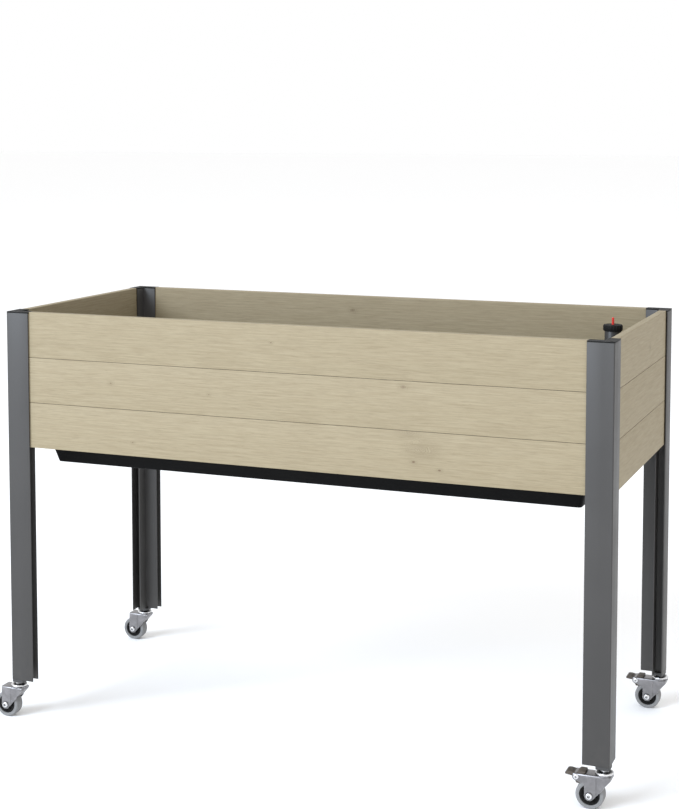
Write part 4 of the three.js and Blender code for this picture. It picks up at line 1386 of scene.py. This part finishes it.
# ------------------------------------------------------------------ tray, ledges and deck
@dataclass
class Ledge:
    """The aluminium angle behind a wall's bottom board, with its row of screws."""

    wall: Wall
    finishes: Finishes
    thick: float = 2.0 * MM
    screw_pitch: float = 160.0 * MM
    screw_inset: float = 40.0 * MM
    head_radius: float = 4.2 * MM

    def rail(self) -> Thing:
        """Build the angle.

        Returns:
            The angle.
        """
        node = f"tray_ledge_{self.wall.label}"
        low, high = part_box(node)
        through = self.wall.through
        side = self.wall.facing[through]
        back = high[through] if side > 0 else low[through]
        piece = Piece(f"rail_{self.wall.label}").block(low, (high.x, high.y, low.z + self.thick))
        piece.slice(through, back - side * self.thick)
        piece.faces(lambda m, n: n.z > 0.9 and abs(m[through] - back) < self.thick)
        piece.extrude((0, 0, high.z - low.z - self.thick))
        thing = piece.soften(0.3 * MM, 2).done()
        metal = self.finishes.rail_x if self.wall.along == 0 else self.finishes.rail_y
        return dress(thing, metal, "frame", "mill_aluminium", node)

    def screws(self) -> Thing:
        """Build the row of pan-head screws with sunk sockets that hold the angle.

        Returns:
            All the heads as one piece.
        """
        low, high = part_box(f"tray_ledge_{self.wall.label}")
        along, through = self.wall.along, self.wall.through
        side = self.wall.facing[through]
        back = high[through] if side > 0 else low[through]
        face = back - side * self.thick
        height = 0.42 * self.head_radius
        count = max(2, round((high[along] - low[along] - 2 * self.screw_inset) / self.screw_pitch) + 1)
        gap = (high[along] - low[along] - 2 * self.screw_inset) / (count - 1)
        spot = Vector((0, 0, (low.z + self.thick + high.z) / 2))
        spot[along], spot[through] = low[along] + self.screw_inset, face - side * height / 2
        piece = Piece(f"rail_screws_{self.wall.label}").prism(spot, self.head_radius, height, 16)
        piece.faces(lambda m, n: n.z > 0.9).inset(self.head_radius * 0.55).inset(0.1 * MM).extrude((0, 0, -height * 0.6))
        piece.every()
        axis = "X" if along == 0 else "Y"
        quarter = math.pi / 2 * (side if along == 0 else -side)
        bpy.ops.transform.rotate(value=-quarter, orient_axis=axis, center_override=spot)
        step = Vector((0, 0, 0))
        step[along] = gap
        thing = piece.soften(0.5 * MM, 2).repeat(count, step).done()
        return dress(thing, self.finishes.zinc, "frame", "zinc_steel")

    def build(self) -> None:
        """Build the angle and its screws."""
        self.rail()
        self.screws()


@dataclass
class WaterTray:
    """The moulded basin: a flange on the ledges, upright sides, and sides that run in to a flat floor."""

    finishes: Finishes
    wall: float = 1.6 * MM
    corner_radius: float = 6.0 * MM
    floor_radius: float = 2.4 * MM
    floor_inset: float = 47.7 * MM
    step_inset: float = 37.5 * MM
    side_inset: float = 23.7 * MM
    step_drop: float = 0.3 * MM
    overflow_bore: float = 6.3 * MM
    drain_bore: float = 8.3 * MM

    def build(self) -> Thing:
        """Build the tray.

        Returns:
            The tray.
        """
        low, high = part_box("water_tray")
        step = min(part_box(f"board_{wall.label}_bottom")[0].z for wall in Wall) - self.step_drop
        middle = (low + high) / 2
        piece = Piece("tray")
        floor = Vector((self.floor_inset, self.floor_inset, 0))
        piece.sheet(low + floor, high - floor)
        size = (high - low) / 2 - floor
        rings = (
            (self.step_inset, step), (self.side_inset, step), (self.side_inset, high.z - self.wall),
            (0.0, high.z - self.wall),
        )
        level = low.z
        for inset, height in rings:
            reach = (high - low) / 2 - Vector((inset, inset, 0))
            piece.extrude((0, 0, height - level)).resize((reach.x / size.x, reach.y / size.y, 1), middle)
            size, level = reach, height
        piece.remove()
        return self._finish(piece, low, high, step)

    def _finish(self, piece: Piece, low: Vector, high: Vector, step: float) -> Thing:
        """Round the open shell, give it its wall and bore its two holes.

        Args:
            piece: the shell on the bench.
            low: the tray's lowest corner.
            high: its highest corner.
            step: the height of the step behind the boards.

        Returns:
            The tray.
        """
        rim = high.z - self.wall

        def at_corner(a: Vector, b: Vector) -> bool:
            across = abs(a.x - b.x) > 5 * MM and abs(a.y - b.y) > 5 * MM
            upright = abs(a.x - b.x) < 1 * MM and abs(a.y - b.y) < 1 * MM and abs(a.z - b.z) > 5 * MM
            return upright or (across and abs(a.x - b.x) < 60 * MM)

        piece.every().seal()
        piece.edges(at_corner).bevel(self.corner_radius, 4)
        piece.edges(lambda a, b: max(abs(a.z - low.z), abs(b.z - low.z)) < 1e-5).bevel(self.floor_radius, 3)
        piece.edges(lambda a, b: max(abs(a.z - rim), abs(b.z - rim)) < 1e-5 and abs(a.z - step) > 1e-3)
        piece.seal().thicken(self.wall, 1.0)
        for name, radius in (("overflow_pipe", self.overflow_bore), ("drain_plug", self.drain_bore)):
            near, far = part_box(name)
            spot = ((near.x + far.x) / 2, (near.y + far.y) / 2, low.z)
            piece.bore(spot, radius, 4 * self.wall)
        thing = piece.soften(0.35 * MM, 1, 50).done(50)
        return dress(thing, self.finishes.tray, "frame", "black_plastic", "water_tray")


@dataclass
class SoilDeck:
    """One perforated half of the soil deck, with its wicking cup."""

    side: int
    finishes: Finishes
    thick: float = 3.0 * MM
    pitch: float = 27.4 * MM
    hole_radius: float = 4.5 * MM
    cup_radius: float = 32.0 * MM
    foot_radius: float = 26.0 * MM
    cup_wall: float = 2.5 * MM
    tube_play: float = 0.4 * MM

    def _plate(self, low: Vector, high: Vector) -> Piece:
        """Build the perforated plate from one cell with a hole, laid in rows.

        Args:
            low: the deck's lowest corner.
            high: its highest corner.

        Returns:
            The plate on the bench.
        """
        columns = round((high.x - low.x) / self.pitch)
        rows = round((high.y - low.y) / self.pitch)
        cell = Vector(((high.x - low.x) / columns, (high.y - low.y) / rows, 0))
        top = high.z
        piece = Piece(f"deck_{'right' if self.side > 0 else 'left'}")
        piece.sheet((low.x, low.y, top), (low.x + cell.x, low.y + cell.y, top))
        piece.slice(0, low.x + cell.x / 2).slice(1, low.y + cell.y / 2)
        centre = Vector((low.x + cell.x / 2, low.y + cell.y / 2, top))
        piece.points(lambda p: (p - centre).length < 1e-6)
        bpy.ops.mesh.bevel(offset=self.hole_radius, segments=1, affect="VERTICES")
        piece.edges(lambda a, b: max((a - centre).length, (b - centre).length) < self.hole_radius * 1.01)
        bpy.ops.mesh.subdivide(number_cuts=1)
        piece.points(lambda p: self.hole_radius * 0.6 < (p - centre).length < self.hole_radius * 0.8)
        piece.resize((math.sqrt(2), math.sqrt(2), 1), centre)
        piece.faces(lambda m, n: (m - centre).length < self.hole_radius * 0.75).remove()
        piece.every().repeat(columns, (cell.x, 0, 0)).repeat(rows, (0, cell.y, 0)).seal()
        return piece

    def build(self) -> Thing:
        """Build the half deck.

        Returns:
            The half deck with its cup.
        """
        name = "right" if self.side > 0 else "left"
        node = f"soil_deck_{name}"
        low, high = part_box(node)
        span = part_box("water_tray")
        middle_x = (span[0].x + span[1].x) / 2
        cup = Vector((middle_x + self.side * 0.3, 0.0, low.z))
        piece = self._plate(low, high)
        piece.thicken(self.thick)
        piece.bore((cup.x, cup.y, high.z), self.cup_radius - self.cup_wall, 8 * self.thick)
        if self.side > 0:
            near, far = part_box("fill_tube")
            spot = ((near.x + far.x) / 2, (near.y + far.y) / 2, high.z)
            piece.bore(spot, (far.x - near.x) / 2 + self.tube_play, 8 * self.thick)
        thing = piece.done(40)
        depth = high.z - low.z
        rim = 3.0 * MM
        profile = [
            (0, 0), (self.foot_radius, 0), (self.cup_radius, depth - rim), (self.cup_radius + rim, depth - self.thick),
            (self.cup_radius + rim, depth + 0.4 * MM), (self.cup_radius - self.cup_wall, depth + 0.4 * MM),
            (self.foot_radius - self.cup_wall, self.cup_wall), (0, self.cup_wall),
        ]
        wick = turned(f"wick_{name}", profile, cup, steps=48).soften(0.6 * MM, 2).done(40)
        thing = joined(thing, wick)
        return dress(thing, self.finishes.dark, "frame", "dark_plastic", node)


# ------------------------------------------------------------------ filling and draining
@dataclass
class FillingPoint:
    """The fill tube with its cap and level float, the overflow pipe and the drain bung."""

    finishes: Finishes
    grips: int = 20

    def tube(self) -> Thing:
        """Build the fill tube with a water slot at its foot.

        Returns:
            The tube.
        """
        low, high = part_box("fill_tube")
        centre = ((low.x + high.x) / 2, (low.y + high.y) / 2, low.z)
        outer, tall = (high.x - low.x) / 2, high.z - low.z
        inner = outer - 2 * MM
        profile = [(inner, 0), (outer, 0), (outer, tall), (inner, tall), (inner, 0)]
        piece = turned("filler", profile, centre, steps=48)
        near = (low.x - 1 * MM, centre[1] - 4 * MM, low.z - 1 * MM)
        far = (high.x + 1 * MM, centre[1] + 4 * MM, low.z + 16 * MM)
        thing = piece.combine(Piece("cutter").block(near, far).done(), "DIFFERENCE").soften(0.5 * MM, 2).done(40)
        return dress(thing, self.finishes.tube, "frame", "tube_plastic", "fill_tube")

    def cap(self) -> Thing:
        """Build the fill cap with grip ribs round its skirt.

        Returns:
            The cap.
        """
        low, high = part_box("fill_cap")
        centre = Vector(((low.x + high.x) / 2, (low.y + high.y) / 2, low.z))
        outer, tall = (high.x - low.x) / 2, high.z - low.z
        inner, hole, roof = outer - 2 * MM, 3.1 * MM, high.z - low.z - 2 * MM
        profile = [
            (hole, roof), (inner, roof), (inner, 0), (outer, 0), (outer, tall - 1 * MM), (outer - 1 * MM, tall),
            (outer - 4 * MM, tall), (outer - 5 * MM, tall - 0.6 * MM), (hole + 3 * MM, tall - 0.6 * MM),
            (hole + 2 * MM, tall), (hole, tall), (hole, roof),
        ]
        shell = turned("filler_cap", profile, centre, steps=48).soften(0.4 * MM, 2).done(40)
        ribs = []
        for step in range(self.grips):
            angle = TURN * step / self.grips
            spot = centre + Vector((math.cos(angle) * outer, math.sin(angle) * outer, tall / 2))
            rib = Piece("grip").prism(spot, 0.8 * MM, tall - 3 * MM, 8).soften(0.2 * MM, 1).done()
            ribs.append(rib)
        thing = joined(shell, *ribs)
        return dress(thing, self.finishes.black, "fill_cap", "black_plastic", "fill_cap")

    def level(self) -> Thing:
        """Build the level float: a ribbed float, its rod and three marker rings.

        Returns:
            The float.
        """
        low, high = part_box("level_float")
        centre = ((low.x + high.x) / 2, (low.y + high.y) / 2, low.z)
        wide, rod, tall = (high.x - low.x) / 2, 2.5 * MM, 28 * MM
        profile: list[tuple[float, float]] = [(0, 0), (wide - 3 * MM, 0), *arc((wide - 3 * MM, 3 * MM), 3 * MM, -60, 0, 3)]
        for ring in range(3):
            level = (9 + 6 * ring) * MM
            profile += [(wide, level - 0.8 * MM), (wide - 0.8 * MM, level), (wide, level + 0.8 * MM)]
        profile += [*arc((wide - 3 * MM, tall - 3 * MM), 3 * MM, 0, 80, 4), (rod, tall)]
        top = high.z - low.z
        for ring in range(3):
            level = top - (12 - 4 * ring) * MM
            profile += [(rod, level - 0.8 * MM), (rod - 0.5 * MM, level - 0.4 * MM), (rod - 0.5 * MM, level), (rod, level + 0.4 * MM)]
        profile += [(rod, top - 1 * MM), (rod - 1 * MM, top), (0, top)]
        thing = turned("float_and_rod", profile, centre, steps=32).done(40)
        return dress(thing, self.finishes.float, "level_float", "float_plastic", "level_float")

    def overflow(self) -> Thing:
        """Build the overflow pipe with its sealing collar.

        Returns:
            The pipe.
        """
        low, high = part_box("overflow_pipe")
        centre = ((low.x + high.x) / 2, (low.y + high.y) / 2, low.z)
        collar, outer, bore = (high.x - low.x) / 2, 6 * MM, 4 * MM
        tall = high.z - low.z
        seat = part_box("water_tray")[0].z + 2.8 * MM - low.z
        profile = [
            (bore, 0), (outer - 0.6 * MM, 0), (outer, 1 * MM), (outer, seat), (collar, seat), (collar, seat + 2 * MM),
            (outer, seat + 2.6 * MM), (outer, tall), (bore, tall), (bore, 0),
        ]
        thing = turned("overflow", profile, centre, steps=40).soften(0.4 * MM, 2).done(40)
        return dress(thing, self.finishes.tube, "frame", "tube_plastic", "overflow_pipe")

    def drain(self) -> Thing:
        """Build the drain bung with its grip bar.

        Returns:
            The bung.
        """
        low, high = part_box("drain_plug")
        centre = Vector(((low.x + high.x) / 2, (low.y + high.y) / 2, low.z))
        head, stem, tall = (high.x - low.x) / 2, 8 * MM, high.z - low.z
        profile = [
            (0, 1.4 * MM), (head - 3 * MM, 1.4 * MM), (head - 2.4 * MM, 0), (head - 1 * MM, 0), (head, 1 * MM), (head, 4 * MM),
            (stem, 4 * MM), (stem - 0.4 * MM, 5.4 * MM), (stem, 6.8 * MM), (stem, tall - 2 * MM),
            (stem - 1.5 * MM, tall), (0, tall),
        ]
        thing = turned("bung", profile, centre, steps=40).soften(0.3 * MM, 2).done(40)
        bar = Piece("bar").block(centre + Vector((-8 * MM, -1.5 * MM, 0)), centre + Vector((8 * MM, 1.5 * MM, 1.6 * MM)))
        thing = joined(thing, bar.soften(0.6 * MM, 3).done())
        return dress(thing, self.finishes.rubber, "drain_plug", "grey_rubber", "drain_plug")

    def build(self) -> None:
        """Build all five pieces."""
        self.tube()
        self.cap()
        self.level()
        self.overflow()
        self.drain()


# ------------------------------------------------------------------ castors
@dataclass
class CastorPattern:
    """The castor's shared sizes, measured from its swivel axis."""

    trail: float = 24.0 * MM
    axle_height: float = 25.0 * MM
    fork_outside: float = 14.0 * MM
    plate: float = 2.0 * MM
    crown_top: float = 62.0 * MM
    crown_reach: float = 13.0 * MM
    eye: float = 8.4 * MM
    race: float = 16.0 * MM
    pivot_back: float = 47.0 * MM
    pivot_height: float = 56.0 * MM
    pin: float = 2.5 * MM
    ear: float = 6.6 * MM
    panel_step: float = 0.4 * MM
    groove_depth: float = 1.2 * MM
    groove_places: tuple[float, ...] = (-14.0 * MM, -12.7 * MM, -11.2 * MM, -9.8 * MM)


@dataclass
class Castor:
    """One swivel castor: stem and races, pressed fork, axle, hub, tyre and, at one end, a brake."""

    corner: Corner
    finishes: Finishes
    sizes: CastorPattern = field(default_factory=CastorPattern)

    @property
    def axis(self) -> Vector:
        """The swivel axis, on the floor."""
        low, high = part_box(f"castor_stem_{self.corner.label}")
        return Vector(((low.x + high.x) / 2, (low.y + high.y) / 2, 0))

    @property
    def axle_middle(self) -> Vector:
        """The middle of the axle."""
        return self.axis + Vector((-self.sizes.trail, 0, self.sizes.axle_height))

    def stem(self) -> Thing:
        """Build the stem with its upper race, hexagon collar and riveted end.

        Returns:
            The stem.
        """
        node = f"castor_stem_{self.corner.label}"
        low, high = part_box(node)
        s = self.sizes
        base = s.crown_top
        rivet = low.z
        profile = [
            (0, rivet), (5 * MM, rivet), *arc((5.5 * MM, rivet + 2.2 * MM), 2.2 * MM, -70, 0, 3), (8 * MM, base - 2.8 * MM),
            (5 * MM, base - 2.8 * MM), (5 * MM, base + 1.9 * MM), (s.race - 0.8 * MM, base + 1.9 * MM),
            *arc((s.race - 1.2 * MM, base + 3.1 * MM), 1.2 * MM, -90, 0, 3),
            *arc((s.race - 2.6 * MM, base + 3.0 * MM), 2.6 * MM, 0, 80, 5),
            (10.2 * MM, base + 5.6 * MM), (9.6 * MM, base + 5.2 * MM), (5 * MM, base + 5.2 * MM),
            (5 * MM, high.z - 1 * MM), (4 * MM, high.z), (0, high.z),
        ]
        thing = turned(f"stem_{self.corner.label}", profile, self.axis, steps=48).done(40)
        nut = Piece("collar").prism(self.axis + Vector((0, 0, base + 7.4 * MM)), 9.8 * MM, 4.4 * MM, 6)
        thing = joined(thing, nut.soften(0.5 * MM, 2).done())
        return dress(thing, self.finishes.bright, "frame", "zinc_steel", node)

    def _cheek_outline(self) -> list[tuple[float, float]]:
        """The fork's side view, from the swivel axis: along X and up.

        Returns:
            The outline's points.
        """
        s = self.sizes
        axle = (-s.trail, s.axle_height)
        top = s.crown_top + 1 * MM
        front = s.crown_reach + 0.4 * MM
        points = [(front, top), (front, s.crown_top - 7.5 * MM), (front - 4.6 * MM, s.crown_top - 13 * MM)]
        points += arc(axle, s.eye, -39, -180, 12)
        if self.corner.braked:
            pivot = (-s.pivot_back, s.pivot_height)
            points += [(axle[0] - s.eye, axle[1] + 15.5 * MM), (axle[0] - s.eye - 1 * MM, axle[1] + 18.2 * MM)]
            points += [(axle[0] - s.eye - 3.6 * MM, axle[1] + 20.6 * MM)]
            points += arc(pivot, s.ear, -80, -255, 12)
            points += [(pivot[0] + 6 * MM, top)]
        else:
            points += [(axle[0] - s.eye, top)]
        return points

    def fork(self) -> Thing:
        """Build the pressed fork: a channel bent from sheet, trimmed to its side view, with the lower race.

        Returns:
            The fork.
        """
        node = f"castor_fork_{self.corner.label}"
        s = self.sizes
        at = self.axis
        back = -s.pivot_back - s.ear - 1 * MM if self.corner.braked else -s.trail - s.eye - 1 * MM
        low = at + Vector((back, -s.fork_outside, s.axle_height - s.eye - 1 * MM))
        high = at + Vector((s.crown_reach, s.fork_outside, s.crown_top))
        web_low, web_high = 42 * MM, s.crown_top - 6 * MM
        piece = Piece(f"fork_{self.corner.label}").block(low, high)
        piece.slice(2, web_low, web_high)
        piece.points(lambda p: abs(p.x - high.x) < 1e-5 and p.z < web_low + 1e-5).move((-12 * MM, 0, 0))
        piece.edges(
            lambda a, b: abs(a.z - high.z) < 1e-5 and abs(b.z - high.z) < 1e-5 and abs(a.y - b.y) < 1e-5
            and abs(a.x - b.x) > 10 * MM
        ).bevel(3 * MM, 5)
        piece.faces(
            lambda m, n: n.z < -0.9 or (n.x < -0.9 and abs(m.x - low.x) < 1e-5) or (n.x > 0.9 and m.z < web_low)
        ).remove()
        groove = [at.x + place for place in s.groove_places]
        piece.slice(0, *groove)
        for side in (-1, 1):
            flank = at.y + side * s.fork_outside
            piece.points(lambda p: groove[3] - 1e-5 < p.x and p.z < web_high + 1e-5 and abs(p.y - flank) < 1e-5)
            piece.move((0, -side * s.panel_step, 0))
            piece.points(
                lambda p: groove[1] - 1e-5 < p.x < groove[2] + 1e-5 and p.z < web_high + 1e-5
                and abs(p.y - flank) < 1e-5
            ).move((0, -side * s.groove_depth, 0))
        piece.seal().thicken(s.plate)
        outline = [at + Vector((x, -s.fork_outside - 3 * MM, z)) for x, z in self._cheek_outline()]
        prism = Piece("side view").line([*outline, outline[0]]).fill()
        prism.extrude((0, 2 * s.fork_outside + 6 * MM, 0)).seal()
        thing = piece.combine(prism.done(), "INTERSECT").soften(0.35 * MM, 2, 40).done(40)
        lift = s.crown_top
        profile = [
            (0, lift - 0.6 * MM), (s.race - 1 * MM, lift - 0.6 * MM), *arc((s.race - 1.6 * MM, lift + 0.9 * MM), 0.7 * MM, 0, 90, 3),
            (0, lift + 1.6 * MM),
        ]
        race = turned("lower race", profile, at, steps=48).done(40)
        thing = joined(thing, race)
        return dress(thing, self.finishes.zinc, f"swivel_{self.corner.label}", "zinc_steel", node)

    def axle(self) -> Thing:
        """Build the axle bolt: button heads with sunk sockets.

        Returns:
            The axle.
        """
        node = f"wheel_axle_{self.corner.label}"
        low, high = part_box(node)
        reach = (high.y - low.y) / 2
        head, shaft, face = (high.x - low.x) / 2, 3 * MM, reach - 3.2 * MM
        dome = [(2.4 * MM, -reach + 1.6 * MM), (2.6 * MM, -reach)]
        dome += [(3.6 * MM, -reach), (4.9 * MM, -reach + 0.6 * MM), (head, -reach + 2 * MM), (head, -face)]
        profile = [(0, -reach + 1.6 * MM), *dome, (shaft, -face)]
        profile += [(radius, -along) for radius, along in reversed(profile)]
        thing = turned(f"axle_{self.corner.label}", profile, self.axle_middle, across=True, steps=36).done(40)
        return dress(thing, self.finishes.bright, f"swivel_{self.corner.label}", "zinc_steel", node)

    def hub(self) -> Thing:
        """Build the hub with ringed covers and short ribs between boss and rim.

        Returns:
            The hub.
        """
        node = f"wheel_hub_{self.corner.label}"
        low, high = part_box(node)
        rim, boss = (high.x - low.x) / 2, (high.y - low.y) / 2
        edge, web = 8.5 * MM, 4.5 * MM
        face = [
            (3.4 * MM, boss), (5.8 * MM, boss), (6.5 * MM, boss - 0.7 * MM), (7.2 * MM, web + 2 * MM), (8.2 * MM, web + 0.6 * MM),
            (10.5 * MM, web), (12.8 * MM, web + 0.8 * MM), (13.4 * MM, web + 2.4 * MM), (14.2 * MM, web + 2.4 * MM),
            (14.8 * MM, web + 3.6 * MM), (rim - 1.6 * MM, edge), (rim, edge),
        ]
        profile = [*face, *[(radius, -along) for radius, along in reversed(face)], face[0]]
        thing = turned(f"hub_{self.corner.label}", profile, self.axle_middle, across=True, steps=48).done(30)
        ribs = []
        for step in range(8):
            angle = TURN * (step + 0.5) / 8
            for side in (-1, 1):
                spot = self.axle_middle + Vector((math.cos(angle) * 10 * MM, side * (web + 0.6 * MM), math.sin(angle) * 10 * MM))
                rib = Piece("rib").block(spot - Vector((3 * MM, 0.9 * MM, 0.5 * MM)), spot + Vector((3 * MM, 0.9 * MM, 0.5 * MM)))
                rib.every()
                bpy.ops.transform.rotate(value=angle, orient_axis="Y", center_override=spot)
                ribs.append(rib.soften(0.25 * MM, 1).done())
        thing = joined(thing, *ribs)
        return dress(thing, self.finishes.hub, f"wheel_{self.corner.label}", "hub_plastic", node)

    def tyre(self) -> Thing:
        """Build the tyre with rounded shoulders, a side groove and a mould line round the tread.

        Returns:
            The tyre.
        """
        node = f"wheel_tyre_{self.corner.label}"
        low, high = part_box(node)
        outer, half = self.sizes.axle_height, (high.y - low.y) / 2
        seat = (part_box(f"wheel_hub_{self.corner.label}")[1].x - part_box(f"wheel_hub_{self.corner.label}")[0].x) / 2 + 0.3 * MM
        side = [
            (outer, 0.35 * MM), (outer, 6.2 * MM), *arc((outer - 3.4 * MM, half - 3.4 * MM), 3.4 * MM, 12, 78, 5),
            (outer - 4.2 * MM, half), (outer - 4.6 * MM, half - 0.4 * MM), (outer - 5 * MM, half), (seat + 0.6 * MM, half),
            (seat, half - 0.6 * MM),
        ]
        mould_line = [(outer + 0.15 * MM, 0)]
        profile = [*[(radius, -along) for radius, along in reversed(side)], *mould_line, *side]
        profile.append(profile[0])
        thing = turned(f"tyre_{self.corner.label}", profile, self.axle_middle, across=True, steps=72).done(40)
        return dress(thing, self.finishes.rubber, f"wheel_{self.corner.label}", "grey_rubber", node)

    def pedal(self) -> Thing:
        """Build the brake pedal: foot plate with grip ribs, release tab and shoe.

        Returns:
            The pedal.
        """
        node = f"brake_pedal_{self.corner.label}"
        low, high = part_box(node)
        s = self.sizes
        pivot = self.axis + Vector((-s.pivot_back, 0, s.pivot_height))
        heel = [(8, 3), (6.6, -6.7), (5.4, -11.9), (0.1, -11.8), (-4.4, -3.0), (-8, -0.2), (-14, 0.6)]
        top = [(-19, 1.2), (-20, 3), (-19.2, 5.2), (-16.4, 6.6), (-12, 6.8), (-5, 5.6), (0, 5.2)]
        tab = [(3, 8.6), (5, 9.2), (13.5, 9.2), (15.3, 8.4), (15.4, 6.9)]
        outline = [pivot + Vector((x * MM, low.y - pivot.y, z * MM)) for x, z in (*top, *tab, *heel)]
        piece = Piece(f"pedal_{self.corner.label}").line([*outline, outline[0]]).fill()
        piece.extrude((0, high.y - low.y, 0)).seal()
        thing = piece.soften(0.9 * MM, 3, 25).done(40)
        ribs = []
        for step in range(5):
            spot = pivot + Vector(((-15.6 + 2.0 * step) * MM, 0, (6.6 - 0.08 * step) * MM))
            wide = (high.y - low.y) / 2 - 1.6 * MM
            rib = Piece("rib").block(spot - Vector((0.5 * MM, wide, 0.6 * MM)), spot + Vector((0.5 * MM, wide, 0.5 * MM)))
            ribs.append(rib.soften(0.3 * MM, 2).done())
        thing = joined(thing, *ribs)
        return dress(thing, self.finishes.pedal, f"pedal_{self.corner.label}", "pedal_plastic", node)

    def pin(self) -> Thing:
        """Build the pedal's pin with domed, dimpled heads.

        Returns:
            The pin.
        """
        node = f"brake_pin_{self.corner.label}"
        low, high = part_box(node)
        s = self.sizes
        middle = self.axis + Vector((-s.pivot_back, 0, s.pivot_height))
        reach, head = (high.y - low.y) / 2, (high.x - low.x) / 2
        end = [(0, -reach + 1.3 * MM), (1.2 * MM, -reach + 1.2 * MM), (1.6 * MM, -reach), (3.6 * MM, -reach + 0.2 * MM)]
        end += [(head - 0.5 * MM, -reach + 0.7 * MM), (head, -reach + 1.6 * MM), (s.pin, -reach + 1.6 * MM)]
        profile = [*end, *[(radius, -along) for radius, along in reversed(end)]]
        thing = turned(f"pin_{self.corner.label}", profile, middle, across=True, steps=32).done(40)
        return dress(thing, self.finishes.bright, f"swivel_{self.corner.label}", "zinc_steel", node)

    def build(self) -> None:
        """Build the castor."""
        self.stem()
        self.fork()
        self.axle()
        self.hub()
        self.tyre()
        if self.corner.braked:
            self.pedal()
            self.pin()


# ------------------------------------------------------------------ studio
@dataclass
class Studio:
    """A pale floor, white surroundings, soft lamps and the camera."""

    eye: Vector = field(default_factory=lambda: Vector((1.1509, -2.8956, 1.1695)))
    pitch: float = 4.342
    yaw: float = 21.769
    lens: float = 71.04
    drop: float = -0.1943
    surroundings: float = 1.0
    key: float = 900.0
    key_colour: tuple[float, float, float] = (0.90, 1.0, 1.14)
    fill: float = 9.0

    def middle(self) -> Vector:
        """The middle of the board box on the floor."""
        left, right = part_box("leg_front_left")[0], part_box("leg_rear_right")[1]
        return Vector(((left.x + right.x) / 2, (left.y + right.y) / 2, 0))

    def floor(self) -> None:
        """Lay the floor."""
        bpy.ops.mesh.primitive_plane_add(size=120, location=(0, 0, 0))
        floor = bpy.context.active_object
        floor.name = "studio_floor"
        material, _, shader, _ = start_material("studio_floor")
        shader.inputs["Base Color"].default_value = grey(0.985)
        shader.inputs["Roughness"].default_value = 0.9
        floor.data.materials.append(material)

    def lamp(
        self, name: str, place: Sequence[float], size: float, power: float, colour: Sequence[float] = (1, 1, 1)
    ) -> None:
        """Hang a square lamp that looks at the planter.

        Args:
            name: its name.
            place: where it hangs, from the planter's middle.
            size: its side.
            power: its power in watts.
            colour: its colour.
        """
        data = bpy.data.lights.new(name, "AREA")
        data.color = colour
        data.size = size
        data.energy = power
        lamp = bpy.data.objects.new(name, data)
        lamp.location = self.middle() + Vector(place)
        aim = self.middle() + Vector((0, 0, 0.5)) - lamp.location
        lamp.rotation_euler = aim.to_track_quat("-Z", "Y").to_euler()
        bpy.context.scene.collection.objects.link(lamp)

    def build(self) -> None:
        """Set up floor, light and camera."""
        if bpy.context.mode != "OBJECT":
            bpy.ops.object.mode_set(mode="OBJECT")
        self.floor()
        world = bpy.data.worlds.new("studio")
        world.use_nodes = True
        world.node_tree.nodes["Background"].inputs[0].default_value = (1, 1, 1, 1)
        world.node_tree.nodes["Background"].inputs[1].default_value = self.surroundings
        bpy.context.scene.world = world
        self.lamp("key", (-4.6, -7.2, 5.2), 5.0, self.key, self.key_colour)
        self.lamp("fill", (3.2, -2.4, 2.2), 2.5, self.fill)
        camera = bpy.data.objects.new("camera", bpy.data.cameras.new("camera"))
        camera.location = self.middle() + self.eye
        camera.rotation_euler = (math.radians(90 - self.pitch), 0, math.radians(self.yaw))
        camera.data.lens = self.lens
        camera.data.sensor_width = 36
        camera.data.shift_y = self.drop
        bpy.context.scene.collection.objects.link(camera)
        bpy.context.scene.camera = camera
        bpy.context.scene.view_settings.view_transform = "Standard"
        bpy.context.scene.view_settings.look = "None"


# ------------------------------------------------------------------ the planter
FRONT_KNOTS = {
    Row.BOTTOM: (
        Knot(0.722, 0.64, 9 * MM, 0.05), Knot(0.702, 0.97, 7 * MM, 0.12), Knot(0.709, 0.38, 2.2 * MM, 0.95),
        Knot(0.751, 0.25, 2.2 * MM, 0.85),
        Knot(0.22, 0.30, 1.6 * MM, 0.5),
    ),
    Row.MIDDLE: (Knot(0.18, 0.55, 2.2 * MM, 0.45), Knot(0.36, 0.45, 1.5 * MM, 0.4), Knot(0.692, 0.88, 3.0 * MM, 0.5)),
    Row.TOP: (Knot(0.47, 0.62, 1.6 * MM, 0.4),),
}


def knots_of(wall: Wall) -> dict[Row, Sequence[Knot]]:
    """Choose the knots of a wall's boards.

    Args:
        wall: the wall.

    Returns:
        The knots of each board.
    """
    if wall is Wall.FRONT:
        return FRONT_KNOTS
    chance = random.Random(list(Wall).index(wall) * 17 + 5)
    count = 2 if wall.along == 0 else 1
    return {
        row: tuple(
            Knot(chance.uniform(0.08, 0.92), chance.uniform(0.2, 0.8), chance.uniform(1.5, 3.5) * MM, 0.5)
            for _ in range(count)
        )
        for row in Row
    }


def main() -> None:
    """Build the planter's looks in order."""
    logging.basicConfig(level=logging.INFO, format="%(name)s: %(message)s")
    finishes = Finishes(Effects())
    for corner in Corner:
        CornerPost(corner, finishes).build()
    for wall in Wall:
        BoardWall(wall, finishes, knots_of(wall)).build()
        Ledge(wall, finishes).build()
    WaterTray(finishes).build()
    for side in (-1, 1):
        SoilDeck(side, finishes).build()
    FillingPoint(finishes).build()
    for corner in Corner:
        Castor(corner, finishes).build()
    Studio().build()


if __name__ == "__main__":
    main()
